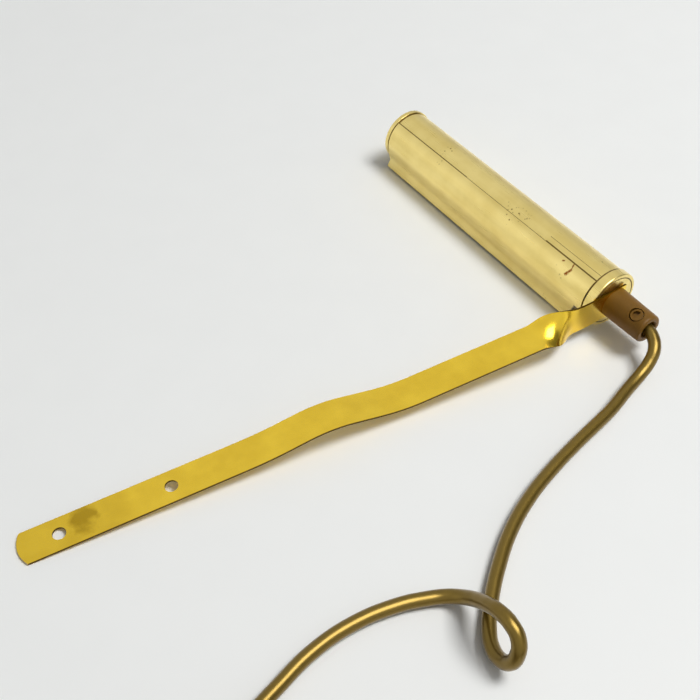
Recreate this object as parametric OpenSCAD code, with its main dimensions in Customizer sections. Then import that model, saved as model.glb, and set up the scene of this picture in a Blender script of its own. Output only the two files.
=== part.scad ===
// Picture light: a brass tube shade that turns on a twisted brass strap, with its lead, switch and plug.
// It lies on a table as it rests. The tube runs along Y and the strap along X. Millimetres.

/* [Tube] */
// Outside radius of the end caps, which the tube lies on
cap_r = 15.2; // [14.8:0.1:17]
// Length from the outer face of the near cap to the outer face of the far cap
tube_l = 169; // [155:1:220]
// Sheet thickness of the end caps
cap_wall = 0.55; // [0.4:0.05:0.8]
// Thickness of the caps' discs
cap_disc = 0.6; // [0.4:0.1:1.2]
// Length of the far cap's skirt
far_skirt = 3.8; // [3:0.2:8]
// Sheet thickness of the fixed shell
shell_wall = 0.5; // [0.3:0.05:0.7]
// How far the shell's edge goes down on the side away from the strap, below the axis
shell_edge = 50; // [30:1:60]
// How far the shell laps under the shutter
shell_lap = 27; // [15:1:30]

/* [Shutter] */
// Sheet thickness of the shutter
shutter_wall = 0.4; // [0.3:0.05:0.6]
// Height of the shutter's upper edge above the axis
seam_angle = 57; // [50:1:65]
// Where the shutter goes straight, below the axis
flat_angle = 5; // [0:1:8]
// Width of the shutter's straight part at the near end
flat_near = 13; // [8:0.5:13.4]
// Width of the shutter's straight part at the far end
flat_far = 10.4; // [6:0.2:13.4]
// Thickness of the ears that carry the shutter
ear_t = 0.6; // [0.4:0.1:1]

/* [Strap] */
// Width of the strap
strap_w = 16.2; // [14:0.2:18]
// Thickness of the strap
strap_t = 1; // [0.8:0.1:1.5]
// Distance from the tube's axis to the strap's tip
strap_reach = 296; // [280:1:330]
// Lean of the strap towards the tube, in plan
strap_lean = 8.8; // [4:0.2:10]
// Radius of the strap's rounded tip
tip_round = 14; // [11:0.5:20]
// How far the tab goes past the tube's axis
tab_past = 6.6; // [6:0.2:9]
// Where the quarter twist starts, from the tube's axis
twist_at = 24; // [20:1:28]
// Length of the quarter twist
twist_l = 26; // [20:1:32]
// Place of the dip between the twist and the hump
dip_at = 121; // [110:1:126]
// Height of the dip above the table
dip_h = 7.4; // [6:0.2:9]
// Place of the hump
hump_at = 157; // [150:1:162]
// Height of the hump above the table
hump_h = 13.9; // [11:0.1:16]
// Place of the hump's foot
foot_at = 186; // [180:1:194]
// Height of the hump's foot above the table
foot_h = 7.9; // [6:0.1:9]
// Diameter of the two screw holes
screw_hole_d = 6; // [4:0.2:7]
// Distance from the tip to the first screw hole
hole_inset = 18; // [14:0.5:24]
// Distance between the screw holes
hole_pitch = 50; // [35:1:60]

/* [Socket end] */
// Outside diameter of the threaded nipple
nipple_d = 8; // [7:0.2:9]
// Bore of the nipple, which the conductors go through
nipple_bore = 5.4; // [5:0.1:5.8]
// Thickness of the fibre washer between tab and cap
washer_t = 0.4; // [0.3:0.1:1]
// Thickness of the spring washer
spring_t = 0.6; // [0.4:0.1:1]
// Thickness of the lock nut
nut_t = 3; // [2:0.2:5]
// Width across the lock nut's flats
nut_flats = 12; // [11:0.5:14]
// Length of the cord grip
grip_l = 23.4; // [21:0.2:28]
// Radius of the cord grip at the tab
grip_r = 8; // [7.4:0.1:9]
// Radius of the cord grip at its mouth
grip_end_r = 7.5; // [7:0.1:8.5]
// Diameter of the clamp screw
clamp_d = 7.2; // [6:0.2:8]
// Lean of the clamp screw from upright
clamp_lean = 25; // [0:1:40]
// Distance from the clamp screw to the grip's mouth
clamp_inset = 6.8; // [6:0.2:9]

/* [Lampholder and bulb] */
// Outside radius of the lampholder
holder_r = 11; // [10.5:0.1:11.6]
// Length of the lampholder
holder_l = 36; // [34:1:44]
// Radius of the bulb's screw cap
bulb_cap_r = 6.9; // [6.5:0.1:7.2]
// Radius of the bulb's glass
bulb_r = 12.5; // [10:0.1:12.9]
// Length of the bulb's glass
glass_l = 66; // [50:1:80]
// Thickness of the glass
glass_wall = 0.8; // [0.5:0.1:1.2]

/* [Lead] */
// Diameter of the round lead
cord_d = 6.2; // [5.6:0.1:6.4]
// Sideways step from turn to turn in the coil
turn_step = 6.9; // [6.9:0.05:7.4]
// Upward step from layer to layer in the coil
layer_step = 6.8; // [6.8:0.05:7.4]
// Radius of the coil's innermost turn
coil_in_r = 24.7; // [24:0.1:28]
// Width of the tie round the coil
tie_w = 8; // [5:0.5:9]

/* [Switch and plug] */
// Length of the lead switch
switch_l = 58; // [52:1:70]
// Width of the lead switch
switch_w = 26; // [25:0.5:32]
// Height of the lead switch
switch_h = 16; // [15:0.5:20]
// Wall of the switch's two shells
switch_wall = 1.6; // [1.2:0.1:2]
// Length of the rocker
rocker_l = 17; // [14:0.5:18]
// Width of the rocker
rocker_w = 11; // [9:0.5:12]
// Lean of the rocker at rest, half of its throw
rocker_lean = 9; // [5:0.5:10]
// Length of the plug's body
plug_l = 32; // [28:1:38]
// Width of the plug's body
plug_w = 27; // [25:0.5:32]
// Thickness of the plug's body
plug_t = 14; // [13:0.5:16]
// Diameter of the plug's pins
pin_d = 4; // [3.8:0.1:4.8]
// Length of the plug's pins
pin_l = 19; // [17:0.5:20]
// Distance between the plug's pins
pin_pitch = 18.6; // [17:0.2:19]

/* [Hidden] */
$fn = 64;

// Colours, as the lamp shows them
brass = "#D9C468";
strap_brass = "#D2AE2F";
brown = "#6A4A22";
lead_brown = "#7A5A1C";
steel = "#B8BABD";
porcelain = "#EDE8DC";
tungsten = "#7C7C80";
clear_glass = "#DCE6EA";

// Clearances
seat_gap = 0.05;
run_gap = 0.2;
end_gap = 0.25;
cut = 1;

// Heights and radii of the tube
axis_z = cap_r;
shell_r = cap_r - cap_wall - seat_gap;
shutter_in = shell_r + run_gap;
shutter_out = shutter_in + shutter_wall;
nipple_r = nipple_d / 2;
running_r = nipple_r + seat_gap;
cord_r = cord_d / 2;

// Places along the tube's axis, from the outer face of the near cap
tab_back = -washer_t - 2 * seat_gap;
tab_y = tab_back - strap_t / 2;
grip_y = tab_back - strap_t;
mouth_y = grip_y - grip_l;
spring_y = cap_disc + seat_gap;
nut_y = spring_y + spring_t + seat_gap;
near_skirt = nut_y + nut_t + 0.7;
shutter_y = near_skirt + end_gap;
shutter_end = tube_l - far_skirt - end_gap;
ear_inset = 0.3;
near_ear_y = shutter_y + ear_inset;
far_ear_y = shutter_end - ear_inset - ear_t;
holder_y = near_ear_y + ear_t + 0.5;
hub_l = 8;
nipple_end = holder_y + hub_l - 0.5;
nipple_in_grip = 10;
plate_y = holder_y + hub_l + 3.6;
plate_t = 1.6;
contact_y = plate_y + plate_t;
bulb_y = contact_y + 3;
bulb_cap_l = holder_y + holder_l - bulb_y + 2.5;
neck_y = bulb_y + bulb_cap_l - 2;

// The table puts the origin under the middle of the lamp, without its lead
strap_tip_x = -strap_reach - tip_round * (1 - cos(strap_lean));
origin_x = (strap_tip_x + cap_r) / 2;
origin_y = (mouth_y + tube_l) / 2;

// A ramp that is zero before x = -r, runs at slope one after x = r, and is a parabola between
function ramp(x, r) = x <= -r ? 0 : x >= r ? x : (x + r) * (x + r) / (4 * r);
function ease(x) = x <= 0 ? 0 : x >= 1 ? 1 : x * x * (3 - 2 * x);
function unit(v) = v / norm(v);

// The strap's middle line, by the distance t from the tube's axis along X
bend_at = twist_at - 5;
bend_round = 5;
hump_round = 11;
knees = [[twist_at, axis_z], [dip_at, dip_h], [hump_at, hump_h], [foot_at, foot_h],
  [strap_reach, strap_t / 2]];
slopes = concat([0], [for (i = [0 : len(knees) - 2])
  (knees[i + 1][1] - knees[i][1]) / (knees[i + 1][0] - knees[i][0])]);
function climb(t, i) = (slopes[i + 1] - slopes[i]) * ramp(t - knees[i][0], hump_round);
function strap_z(t) = axis_z + climb(t, 0) + climb(t, 1) + climb(t, 2) + climb(t, 3);
function strap_y(t) = tab_y + tan(strap_lean) * ramp(t - bend_at, bend_round);
function strap_point(t) = [-t, strap_y(t), strap_z(t)];
function strap_way(t) = unit(strap_point(t + 0.1) - strap_point(t - 0.1));
function strap_turn(t) = 90 * ease((twist_at + twist_l - t) / twist_l);

// Sections across a line: side is level, lift is square to it
function side_of(way) = unit(cross(way, [0, 0, 1]));
function lift_of(way) = cross(side_of(way), way);
function strap_ring(t) =
  let (p = strap_point(t), side = side_of(strap_way(t)), lift = lift_of(strap_way(t)), a = strap_turn(t),
    w = (side * cos(a) + lift * sin(a)) * strap_w / 2, n = (lift * cos(a) - side * sin(a)) * strap_t / 2)
  [p + w + n, p - w + n, p - w - n, p + w - n];
function way_at(line, i) =
  unit(line[min(i + 1, len(line) - 1)] - line[max(i - 1, 0)]);
function round_ring(p, way, r, sides) =
  let (side = side_of(way), lift = lift_of(way), step = 360 / sides)
  [for (k = [0 : sides - 1]) p + r * (side * cos(step * k) - lift * sin(step * k))];
function tube_rings(line, r, sides) =
  [for (i = [0 : len(line) - 1]) round_ring(line[i], way_at(line, i), r, sides)];

// A closed solid through rings of equal count, the first and last ring being its ends
module loft(rings) {
  n = len(rings[0]);
  m = len(rings);
  points = [for (ring = rings) each ring];
  walls = [for (i = [0 : m - 2], k = [0 : n - 1]) let (a = i * n + k, b = i * n + (k + 1) % n)
    each [[a, a + n, b], [b, a + n, b + n]]];
  start = [for (k = [1 : n - 2]) [0, k, k + 1]];
  finish = [for (k = [1 : n - 2]) [(m - 1) * n, (m - 1) * n + k + 1, (m - 1) * n + k]];
  polyhedron(points = points, faces = concat(walls, start, finish), convexity = 10);
}

// Helpers along the tube's axis: a rod, a turned profile of radius and place, and a section that is extruded
module rod(from, to, r) {
  translate([0, from, axis_z]) rotate([-90, 0, 0]) cylinder(h = to - from, r = r);
}
module turned() {
  translate([0, 0, axis_z]) rotate([-90, 0, 0]) rotate_extrude() children();
}
module section(from, to) {
  translate([0, to, axis_z]) rotate([90, 0, 0]) linear_extrude(to - from) children();
}
module ring(from, to, inner, outer) {
  difference() {
    rod(from, to, outer);
    rod(from - cut, to + cut, inner);
  }
}
module wedge(a, b, r) {
  steps = 12;
  arc = [for (k = [0 : steps]) let (t = a + (b - a) * k / steps) [r * cos(t), r * sin(t)]];
  polygon(concat([[0, 0]], arc));
}
module from_origin() {
  translate([-origin_x, -origin_y, 0]) children();
}

// Strap: one strip with a jogged hump, a quarter twist and an upright tab
tip_way = [-cos(strap_lean), sin(strap_lean), 0];
function hole_t(n) = strap_reach - (hole_inset + n * hole_pitch) * cos(strap_lean);
module mounting_strap() {
  tab_stations = [-tab_past, bend_at - bend_round, bend_at - bend_round / 2, bend_at];
  twist_stations = [for (t = [twist_at - 2 : 2 : twist_at + twist_l]) t];
  run_stations = [for (t = [twist_at + twist_l + 4 : 4 : strap_reach - 2]) t];
  stations = concat(tab_stations, twist_stations, run_stations, [strap_reach + tip_round]);
  color(strap_brass) difference() {
    loft([for (t = stations) strap_ring(t)]);
    rod(grip_y - cut, cut, running_r);
    for (n = [0, 1]) strap_hole(hole_t(n));
    tip_trim();
  }
}
module strap_hole(t) {
  way = strap_way(t);
  translate(strap_point(t)) rotate([0, 0, -strap_lean]) rotate([0, asin(way[2]), 0])
    cylinder(h = 4 * strap_t + 4, d = screw_hole_d, center = true);
}
module tip_trim() {
  centre = [-strap_reach, strap_y(strap_reach), 0] - tip_round * tip_way;
  translate([centre[0], centre[1], -20]) rotate([0, 0, -strap_lean]) difference() {
    translate([-3 * tip_round, -2 * tip_round, 0]) cube([3 * tip_round - 6, 4 * tip_round, 40]);
    cylinder(h = 40, r = tip_round);
  }
}

// Cord grip: a tapered plastic sleeve, screwed on the nipple, with a side screw on the lead
mouth_l = 4.5;
mouth_r = cord_r + 1.5;
lead_bore_r = cord_r + 0.3;
grip_edge = 0.8;
clamp_y = mouth_y + clamp_inset;
clamp_way = [-sin(clamp_lean), 0, cos(clamp_lean)];
module clamp_place(out) {
  translate([0, clamp_y, axis_z] + out * clamp_way) rotate([0, -clamp_lean, 0]) children();
}
module cord_grip() {
  color(brown) difference() {
    turned() polygon([[0, grip_y], [grip_r, grip_y], [grip_end_r, mouth_y + grip_edge],
      [grip_end_r - grip_edge, mouth_y], [0, mouth_y]]);
    rod(grip_y - nipple_in_grip, grip_y + cut, running_r);
    rod(mouth_y - cut, grip_y - nipple_in_grip + cut, lead_bore_r);
    rod(mouth_y - cut, mouth_y + mouth_l, mouth_r);
    clamp_place(0) cylinder(h = 2 * grip_r, r = clamp_d / 2 + seat_gap);
  }
}
module clamp_screw() {
  top = grip_end_r - 0.5;
  foot = cord_r + seat_gap;
  color(brown) difference() {
    clamp_place(foot) cylinder(h = top - foot, r = clamp_d / 2);
    clamp_place(top) translate([-0.5, -clamp_d, -1.4]) cube([1, 2 * clamp_d, 3]);
  }
}

// What holds the tube on the strap and lets it turn
module threaded_nipple() {
  color(brass) ring(grip_y - nipple_in_grip + 0.5, nipple_end, nipple_bore / 2, nipple_r);
}
module fibre_washer() {
  color(brown) ring(tab_back + seat_gap, -seat_gap, running_r, nut_flats / 2 + 1);
}
module spring_washer() {
  rise = spring_t / 3;
  in = running_r;
  out = nut_flats / 2 + 1;
  color(steel) turned() polygon([[in, spring_y + rise], [in, spring_y + spring_t],
    [out, spring_y + spring_t - rise], [out, spring_y]]);
}
module lock_nut() {
  color(steel) difference() {
    translate([0, nut_y, axis_z]) rotate([-90, 0, 0])
      cylinder(h = nut_t, r = nut_flats / 2 / cos(30), $fn = 6);
    rod(nut_y - cut, nut_y + nut_t + cut, running_r);
  }
}

// End caps: drawn cups with a rounded edge, over the ends of the shell
cap_edge = 0.9;
module cap_profile(hole, depth) {
  inner = cap_r - cap_wall;
  round = [for (k = [0 : 6]) [cap_r - cap_edge + cap_edge * sin(15 * k), cap_edge - cap_edge * cos(15 * k)]];
  polygon(concat([[hole, 0]], round, [[cap_r, depth], [inner, depth], [inner, cap_disc], [hole, cap_disc]]));
}
module near_end_cap() {
  color(brass) turned() cap_profile(running_r, near_skirt);
}
pivot_r = 2;
module far_end_cap() {
  color(brass) translate([0, tube_l, 0]) mirror([0, 1, 0]) turned()
    cap_profile(pivot_r + seat_gap, far_skirt);
}
module far_pivot() {
  color(brass) union() {
    rod(far_ear_y - 1.2, tube_l, pivot_r);
    rod(tube_l - cap_disc - 0.9, tube_l - cap_disc - seat_gap, pivot_r + 1.6);
  }
}

// Shell: the fixed part of the tube, open below
module tube_shell() {
  left = 180 - seam_angle + shell_lap;
  color(brass) section(cap_disc + seat_gap, tube_l - cap_disc - seat_gap) difference() {
    circle(shell_r);
    circle(shell_r - shell_wall);
    wedge(left, 360 - shell_edge, 2 * shell_r);
  }
}

// Shutter: an arc and a straight part in one sheet, with an ear at each end round the tube's axis
function at(r, a) = [r * cos(a), r * sin(a)];
module shutter_sheet(flat) {
  top = 180 - seam_angle;
  low = 180 + flat_angle;
  steps = 24;
  angles = [for (k = [0 : steps]) top + (low - top) * k / steps];
  down = flat * [sin(flat_angle), -cos(flat_angle)];
  polygon(concat([for (a = angles) at(shutter_out, a)],
    [at(shutter_out, low) + down, at(shutter_in, low) + down],
    [for (k = [0 : steps]) at(shutter_in, angles[steps - k])]));
}
ear_hub = 3;
module shutter_ear(y, r) {
  first = 180 - 14;
  last = 180 + flat_angle - 1;
  difference() {
    section(y, y + ear_t) union() {
      intersection() {
        circle(shutter_in + shutter_wall / 2);
        wedge(first, last, 2 * shell_r);
      }
      circle(nipple_r + ear_hub);
    }
    rod(y - cut, y + ear_t + cut, r);
  }
}
module shutter() {
  run = shutter_end - shutter_y;
  lean = atan((flat_near - flat_far) / run);
  edge = at(shutter_out, 180 + flat_angle) + flat_near * [sin(flat_angle), -cos(flat_angle)];
  color(brass) union() {
    difference() {
      section(shutter_y, shutter_end) shutter_sheet(flat_near);
      translate([edge[0], shutter_y, axis_z + edge[1]]) rotate([lean, 0, 0])
        translate([-6, -cut, -20]) cube([12, run + 20, 20]);
    }
    shutter_ear(near_ear_y, running_r);
    shutter_ear(far_ear_y, pivot_r + seat_gap);
  }
}

// Lampholder: a body on the nipple, an insulating plate, a screw shell and its contact
chamber_r = 8.6;
shell_gap = 0.1;
socket_wall = 0.5;
terminal_x = 4.6;
module holder_body() {
  color(porcelain) difference() {
    rod(holder_y, holder_y + holder_l, holder_r);
    rod(holder_y - cut, holder_y + hub_l + cut, running_r);
    rod(holder_y + hub_l, holder_y + holder_l + cut, chamber_r);
  }
}
module contact_plate() {
  color(porcelain) difference() {
    rod(plate_y, plate_y + plate_t, chamber_r - seat_gap);
    for (s = [-1, 1]) translate([s * terminal_x, 0, 0]) rod(plate_y - cut, plate_y + plate_t + cut, 1.3);
  }
}
module screw_shell() {
  inner = bulb_cap_r + shell_gap;
  color(brass) difference() {
    union() {
      rod(contact_y, holder_y + holder_l - 2, inner + socket_wall);
      rod(contact_y, contact_y + 0.5, chamber_r - seat_gap);
    }
    rod(contact_y - cut, holder_y + holder_l, inner);
  }
}
tip_r = 2.4;
tip_l = 1.2;
button_l = 1.5;
module centre_contact() {
  color(brass) union() {
    rod(contact_y, contact_y + 0.6, 3.4);
    rod(contact_y + 0.6, bulb_y - tip_l - seat_gap, 1.6);
  }
}
module terminal_screws() {
  color(steel) for (s = [-1, 1]) translate([s * terminal_x, 0, 0]) {
    rod(plate_y - 1.4, plate_y, 2);
    rod(plate_y, plate_y + plate_t - 0.2, 1.2);
  }
}

// Conductors from the end of the lead, through the nipple, to the terminal screws
wire_r = 1;
wire_x = 1.25;
lead_start_y = grip_y - nipple_in_grip - 1;
module conductor(s) {
  chamber_y = holder_y + hub_l;
  line = [[s * wire_x, lead_start_y, axis_z], [s * wire_x, 0, axis_z], [s * wire_x, chamber_y - 1, axis_z],
    [s * (wire_x + 1), chamber_y + 0.6, axis_z + 1.4], [s * terminal_x, chamber_y + 1.2, axis_z + 2.4]];
  loft(tube_rings(line, wire_r, 8));
}
module live_wire() {
  color("#7B4A22") conductor(-1);
}
module neutral_wire() {
  color("#2F5DA8") conductor(1);
}

// Bulb: a tubular glass on a ribbed screw cap, with its filament
module bulb_glass() {
  neck_r = bulb_cap_r - 0.6;
  shoulder = 9;
  dome = bulb_r;
  wall = glass_wall;
  straight = neck_y + glass_l - dome;
  outer = concat([[neck_r, neck_y], [neck_r, neck_y + 2], [bulb_r, neck_y + shoulder]],
    [for (k = [0 : 10 : 90]) [bulb_r * cos(k), straight + dome * sin(k)]]);
  inner = concat([for (k = [90 : -10 : 0]) [(bulb_r - wall) * cos(k), straight + (dome - wall) * sin(k)]],
    [[bulb_r - wall, neck_y + shoulder], [neck_r - wall, neck_y + 2], [neck_r - wall, neck_y]]);
  color(clear_glass) turned() polygon(concat(outer, inner));
}
thread_pitch = 2.8;
thread_deep = 0.5;
module bulb_cap() {
  ribs = floor((bulb_cap_l - 4) / thread_pitch);
  ridge = [for (i = [0 : ribs - 1]) let (y = bulb_y + 1 + i * thread_pitch) each
    [[bulb_cap_r - thread_deep, y], [bulb_cap_r, y + thread_pitch / 2]]];
  top = bulb_y + bulb_cap_l;
  wall = 0.4;
  inner = bulb_cap_r - thread_deep - wall;
  throat = bulb_cap_r - 0.6 + seat_gap;
  color(brass) turned() polygon(concat([[tip_r + 1, bulb_y], [inner + wall, bulb_y]], ridge,
    [[bulb_cap_r - thread_deep, top - 2.4], [bulb_cap_r - 0.1, top - 2.2], [bulb_cap_r - 0.1, top],
     [throat, top], [throat, neck_y - seat_gap], [inner, neck_y - seat_gap], [inner, bulb_y + wall],
     [tip_r + 1, bulb_y + wall]]));
}
module bulb_tip() {
  color("#2A2A2C") union() {
    rod(bulb_y, bulb_y + button_l, tip_r + 1 - seat_gap);
    rod(bulb_y - tip_l, bulb_y, tip_r);
  }
}
support_r = 0.4;
support_x = 4;
filament_low = 14;
filament_inset = 16;
bridge_inset = 1;
module filament() {
  from = bulb_y + button_l;
  low = neck_y + filament_low;
  high = neck_y + glass_l - filament_inset;
  color(tungsten) union() {
    for (s = [-1, 1]) translate([s * support_x, 0, 0]) rod(from, high, support_r);
    for (y = [low, high - bridge_inset]) translate([-support_x, y, axis_z]) rotate([0, 90, 0])
      cylinder(h = 2 * support_x, r = support_r);
    rod(from, high, support_r);
  }
}

// Where the switch and the plug lie on the table
switch_place = [-300, -88.5, 0];
switch_turn = 196.7;
split_z = switch_h / 2;
plug_y = -190;
plug_z = plug_t / 2;
sleeve_x = -188;

// Coil: three turns in, half a turn up, and two and a half turns out over them
turns_in = 3;
turns_up = 0.5;
turns_out = 2.5;
tie_t = 0.8;
tie_gap = 0.3;
coil_out_r = coil_in_r + turns_in * turn_step;
coil_z = tie_t + tie_gap + cord_r;
coil_end_r = coil_in_r + turns_out * turn_step;
coil_centre = [-238, -193.4 + coil_out_r];
rings_a_turn = 24;
function coil_radius(n) =
  n <= turns_in ? coil_out_r - turn_step * n :
  n <= turns_in + turns_up ? coil_in_r - turn_step * (turns_up / 2 - abs(n - turns_in - turns_up / 2)) :
  coil_in_r + turn_step * (n - turns_in - turns_up);
function coil_point(n) =
  let (r = coil_radius(n), a = 270 + 360 * n, lift = layer_step * ease((n - turns_in) / turns_up))
  [coil_centre[0] + r * cos(a), coil_centre[1] + r * sin(a), coil_z + lift];
turns = turns_in + turns_up + turns_out;
coil_turns = [for (i = [0 : turns * rings_a_turn]) coil_point(i / rings_a_turn)];
coil_start = coil_turns[0] - [cord_d, 0, 0];
coil_finish = coil_turns[len(coil_turns) - 1] + [cord_d, 0, 0];
coil_route = concat([coil_start], coil_turns, [coil_finish]);
function coil_gap(i) =
  min([for (k = [i + rings_a_turn / 2 : len(coil_turns) - 1]) norm(coil_turns[k] - coil_turns[i])]) - cord_d;
// Lead: from the grip, along the table in the loop that it lies in, to the switch. The third number of a
// point in a list is the height of the lead's underside above the table.
function lay(route) = [for (p = route) [p[0], p[1], p[2] + cord_r]];
function by_switch(d, z) = switch_place + [d * cos(switch_turn), d * sin(switch_turn), z];
switch_end = switch_l / 2;
lead_route = concat([[0, lead_start_y, axis_z], [0, mouth_y + 5, axis_z], [0, mouth_y + 0.5, axis_z - 0.05]],
  lay([[-0.9, -28.6, 11.4], [-4.5, -33.8, 9.2], [-9.5, -36.4, 5.4], [-15.3, -37.7, 2.4], [-21.9, -39.1, 1],
  [-28.5, -40.8, 0.5], [-35, -42.8, 0.2], [-41.6, -44.6, 0], [-48.3, -46, 0], [-67, -49.6, 0],
  [-85.6, -53.9, 0], [-103.8, -59.5, 0], [-121.1, -67.3, 0], [-137.1, -77.7, 0], [-151.8, -89.8, 0],
  [-158.8, -97.2, 0], [-163, -103.8, 0.4], [-164.5, -109.9, 2.1], [-164, -114.5, 6.2], [-161.9, -115.4, 11.9],
  [-159.8, -112.5, 16.9], [-159.1, -106.9, 19.4], [-158.8, -100.8, 18.2], [-158.5, -95.5, 14.8],
  [-158.3, -90.7, 10.7], [-158.6, -86.2, 6.7], [-160.3, -81.5, 3], [-164.3, -76.9, 0.8], [-171.6, -72.8, 0.1],
  [-181.7, -68.9, 0], [-201.3, -65.3, 0], [-221.2, -66.1, 0], [-240.6, -70.8, 0], [-254, -74.7, 1]]),
  [by_switch(-switch_end - 9, split_z - 1.8), by_switch(-switch_end, split_z),
  by_switch(7 - switch_end, split_z)]);
// From the switch, round to the coil
tail_route = concat([by_switch(switch_end - 7, split_z), by_switch(switch_end, split_z),
  by_switch(switch_end + 8, split_z - 1.4)],
  lay([[-341.5, -104.5, 2], [-345.5, -111.5, 0.7], [-347, -120, 0.1], [-347, -133, 0], [-347, -146, 0],
  [-347, -160, 0], [-346.3, -172, 0], [-343, -182, 0.1], [-336.5, -189, 0.5], [-327, -193, 0.9],
  [-314, -193.4, 1.1], [-294, -193.4, 1.1], [-270, -193.4, 1.1]]), [coil_start]);
// From the coil to the plug
end_route = concat([coil_finish],
  lay([[-222, -190, 7.9], [-214, -190, 7.1], [-206, -190, 5.5], [-198, -190, 4.2]]),
  [[sleeve_x - 3, plug_y, plug_z], [sleeve_x + 2, plug_y, plug_z]]);
function length(line) = len(line) < 2 ? 0 : [for (i = [1 : len(line) - 1]) norm(line[i] - line[i - 1])] *
  [for (i = [1 : len(line) - 1]) 1];
module cord_lead() {
  color(lead_brown) loft(tube_rings(lead_route, cord_r, 8));
}
module cord_tail() {
  color(lead_brown) loft(tube_rings(tail_route, cord_r, 8));
}
module cord_end() {
  color(lead_brown) loft(tube_rings(end_route, cord_r, 8));
}

module cord_coil() {
  echo(least_coil_gap = min([for (i = [0 : len(coil_turns) - 1 - rings_a_turn / 2]) coil_gap(i)]));
  echo(lead_length = length(lead_route) + length(tail_route) + length(coil_route) + length(end_route));
  color(lead_brown) loft(tube_rings(coil_route, cord_r, 6));
}
module coil_tie() {
  room = 0.7;
  in = coil_in_r + turn_step / 4 - cord_r - room;
  out = coil_in_r + (turns_in - 0.75) * turn_step + cord_r + room;
  top = coil_z + layer_step + cord_r + tie_gap;
  color("#3A2A18") translate([coil_centre[0] - out, coil_centre[1] - tie_w / 2, 0]) difference() {
    translate([-tie_t, 0, 0]) cube([out - in + 2 * tie_t, tie_w, top + tie_t]);
    translate([0, -cut, tie_t]) cube([out - in, tie_w + 2 * cut, top - tie_t]);
  }
}

// Lead switch: two shells with a rocker on a pin, along the lead
channel_r = cord_r + 0.2;
boss_r = 3.2;
screw_r = 1.45;
screw_x = switch_l / 2 - 10;
screw_y = switch_w / 2 - switch_wall - boss_r + 0.4;
cheek_t = 1.5;
window_gap = 0.8;
pin_r = 1.2;
pin_z = switch_h - 3.4;
cover_h = switch_h - split_z;
window_w = rocker_w + 2 * window_gap;
module pin_bore(l) {
  translate([0, 0, pin_z]) rotate([90, 0, 0]) cylinder(h = l, r = pin_r + seat_gap, center = true);
}
module on_switch() {
  translate(switch_place) rotate([0, 0, switch_turn]) children();
}
module stadium(l, w) {
  square([l - w, w], center = true);
  for (s = [-1, 1]) translate([s * (l - w) / 2, 0]) circle(d = w);
}
module at_screws() {
  for (s = [-1, 1]) translate([s * screw_x, s * screw_y, 0]) children();
}
module lead_channel() {
  translate([0, 0, split_z]) rotate([0, 90, 0])
    cylinder(h = switch_l + 2 * cut, r = channel_r, center = true);
}
module switch_base() {
  inside_l = switch_l - 2 * switch_wall;
  color(brown) on_switch() difference() {
    union() {
      difference() {
        linear_extrude(split_z) stadium(switch_l, switch_w);
        translate([0, 0, switch_wall]) linear_extrude(split_z) stadium(inside_l, switch_w - 2 * switch_wall);
      }
      at_screws() cylinder(h = split_z, r = boss_r);
    }
    lead_channel();
    at_screws() translate([0, 0, -cut]) cylinder(h = switch_h, r = screw_r + seat_gap);
    at_screws() translate([0, 0, -cut]) cylinder(h = cut + 2, r = 2 * screw_r + seat_gap);
  }
}
module switch_cover() {
  inside_l = switch_l - 2 * switch_wall;
  color(brown) on_switch() difference() {
    union() {
      difference() {
        translate([0, 0, split_z]) linear_extrude(cover_h) stadium(switch_l, switch_w);
        translate([0, 0, split_z - cut]) linear_extrude(cover_h - switch_wall + cut)
          stadium(inside_l, switch_w - 2 * switch_wall);
      }
      at_screws() translate([0, 0, split_z]) cylinder(h = cover_h - switch_wall / 2, r = boss_r);
      for (s = [-1, 1]) translate([-3, s * (window_w + cheek_t) / 2 - cheek_t / 2, split_z + 1])
        cube([6, cheek_t, cover_h - 1 - switch_wall / 2]);
    }
    lead_channel();
    translate([0, 0, split_z - cut]) linear_extrude(switch_h)
      square([rocker_l + 2 * window_gap + 1, window_w], center = true);
    at_screws() translate([0, 0, split_z - cut]) cylinder(h = cut + cover_h - 2.6, r = screw_r + seat_gap);
    pin_bore(switch_w - 2 * switch_wall);
  }
}
module switch_rocker() {
  half = rocker_l / 2;
  rise = half * tan(rocker_lean);
  foot = 2.6;
  color("#4A3218") on_switch() difference() {
    translate([0, 0, pin_z]) rotate([0, rocker_lean, 0]) rotate([90, 0, 0])
      linear_extrude(rocker_w, center = true)
        polygon([[-half, 0.6], [-foot, -foot], [foot, -foot], [half, 0.6], [half, 3.4 + rise],
          [0, 3.4 - rise / 2], [-half, 3.4 + rise]]);
    pin_bore(switch_w);
  }
}
module switch_pin() {
  reach = window_w + 2 * cheek_t - 0.4;
  color(steel) on_switch() translate([0, 0, pin_z]) rotate([90, 0, 0])
    cylinder(h = reach, r = pin_r, center = true);
}
module switch_contacts() {
  color(brass) on_switch() for (s = [-1, 1]) translate([s * 7 - 2, -3, switch_wall]) {
    cube([4, 6, 1.2]);
    translate([s > 0 ? 2.8 : 0, 0, 0]) cube([1.2, 6, 4.5]);
  }
}
module switch_screws() {
  tip_z = switch_h - 3.2;
  color(steel) on_switch() at_screws() {
    translate([0, 0, 0.4]) cylinder(h = 1.6, r = 2 * screw_r);
    translate([0, 0, 1]) cylinder(h = tip_z - 1, r = screw_r);
  }
}

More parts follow.
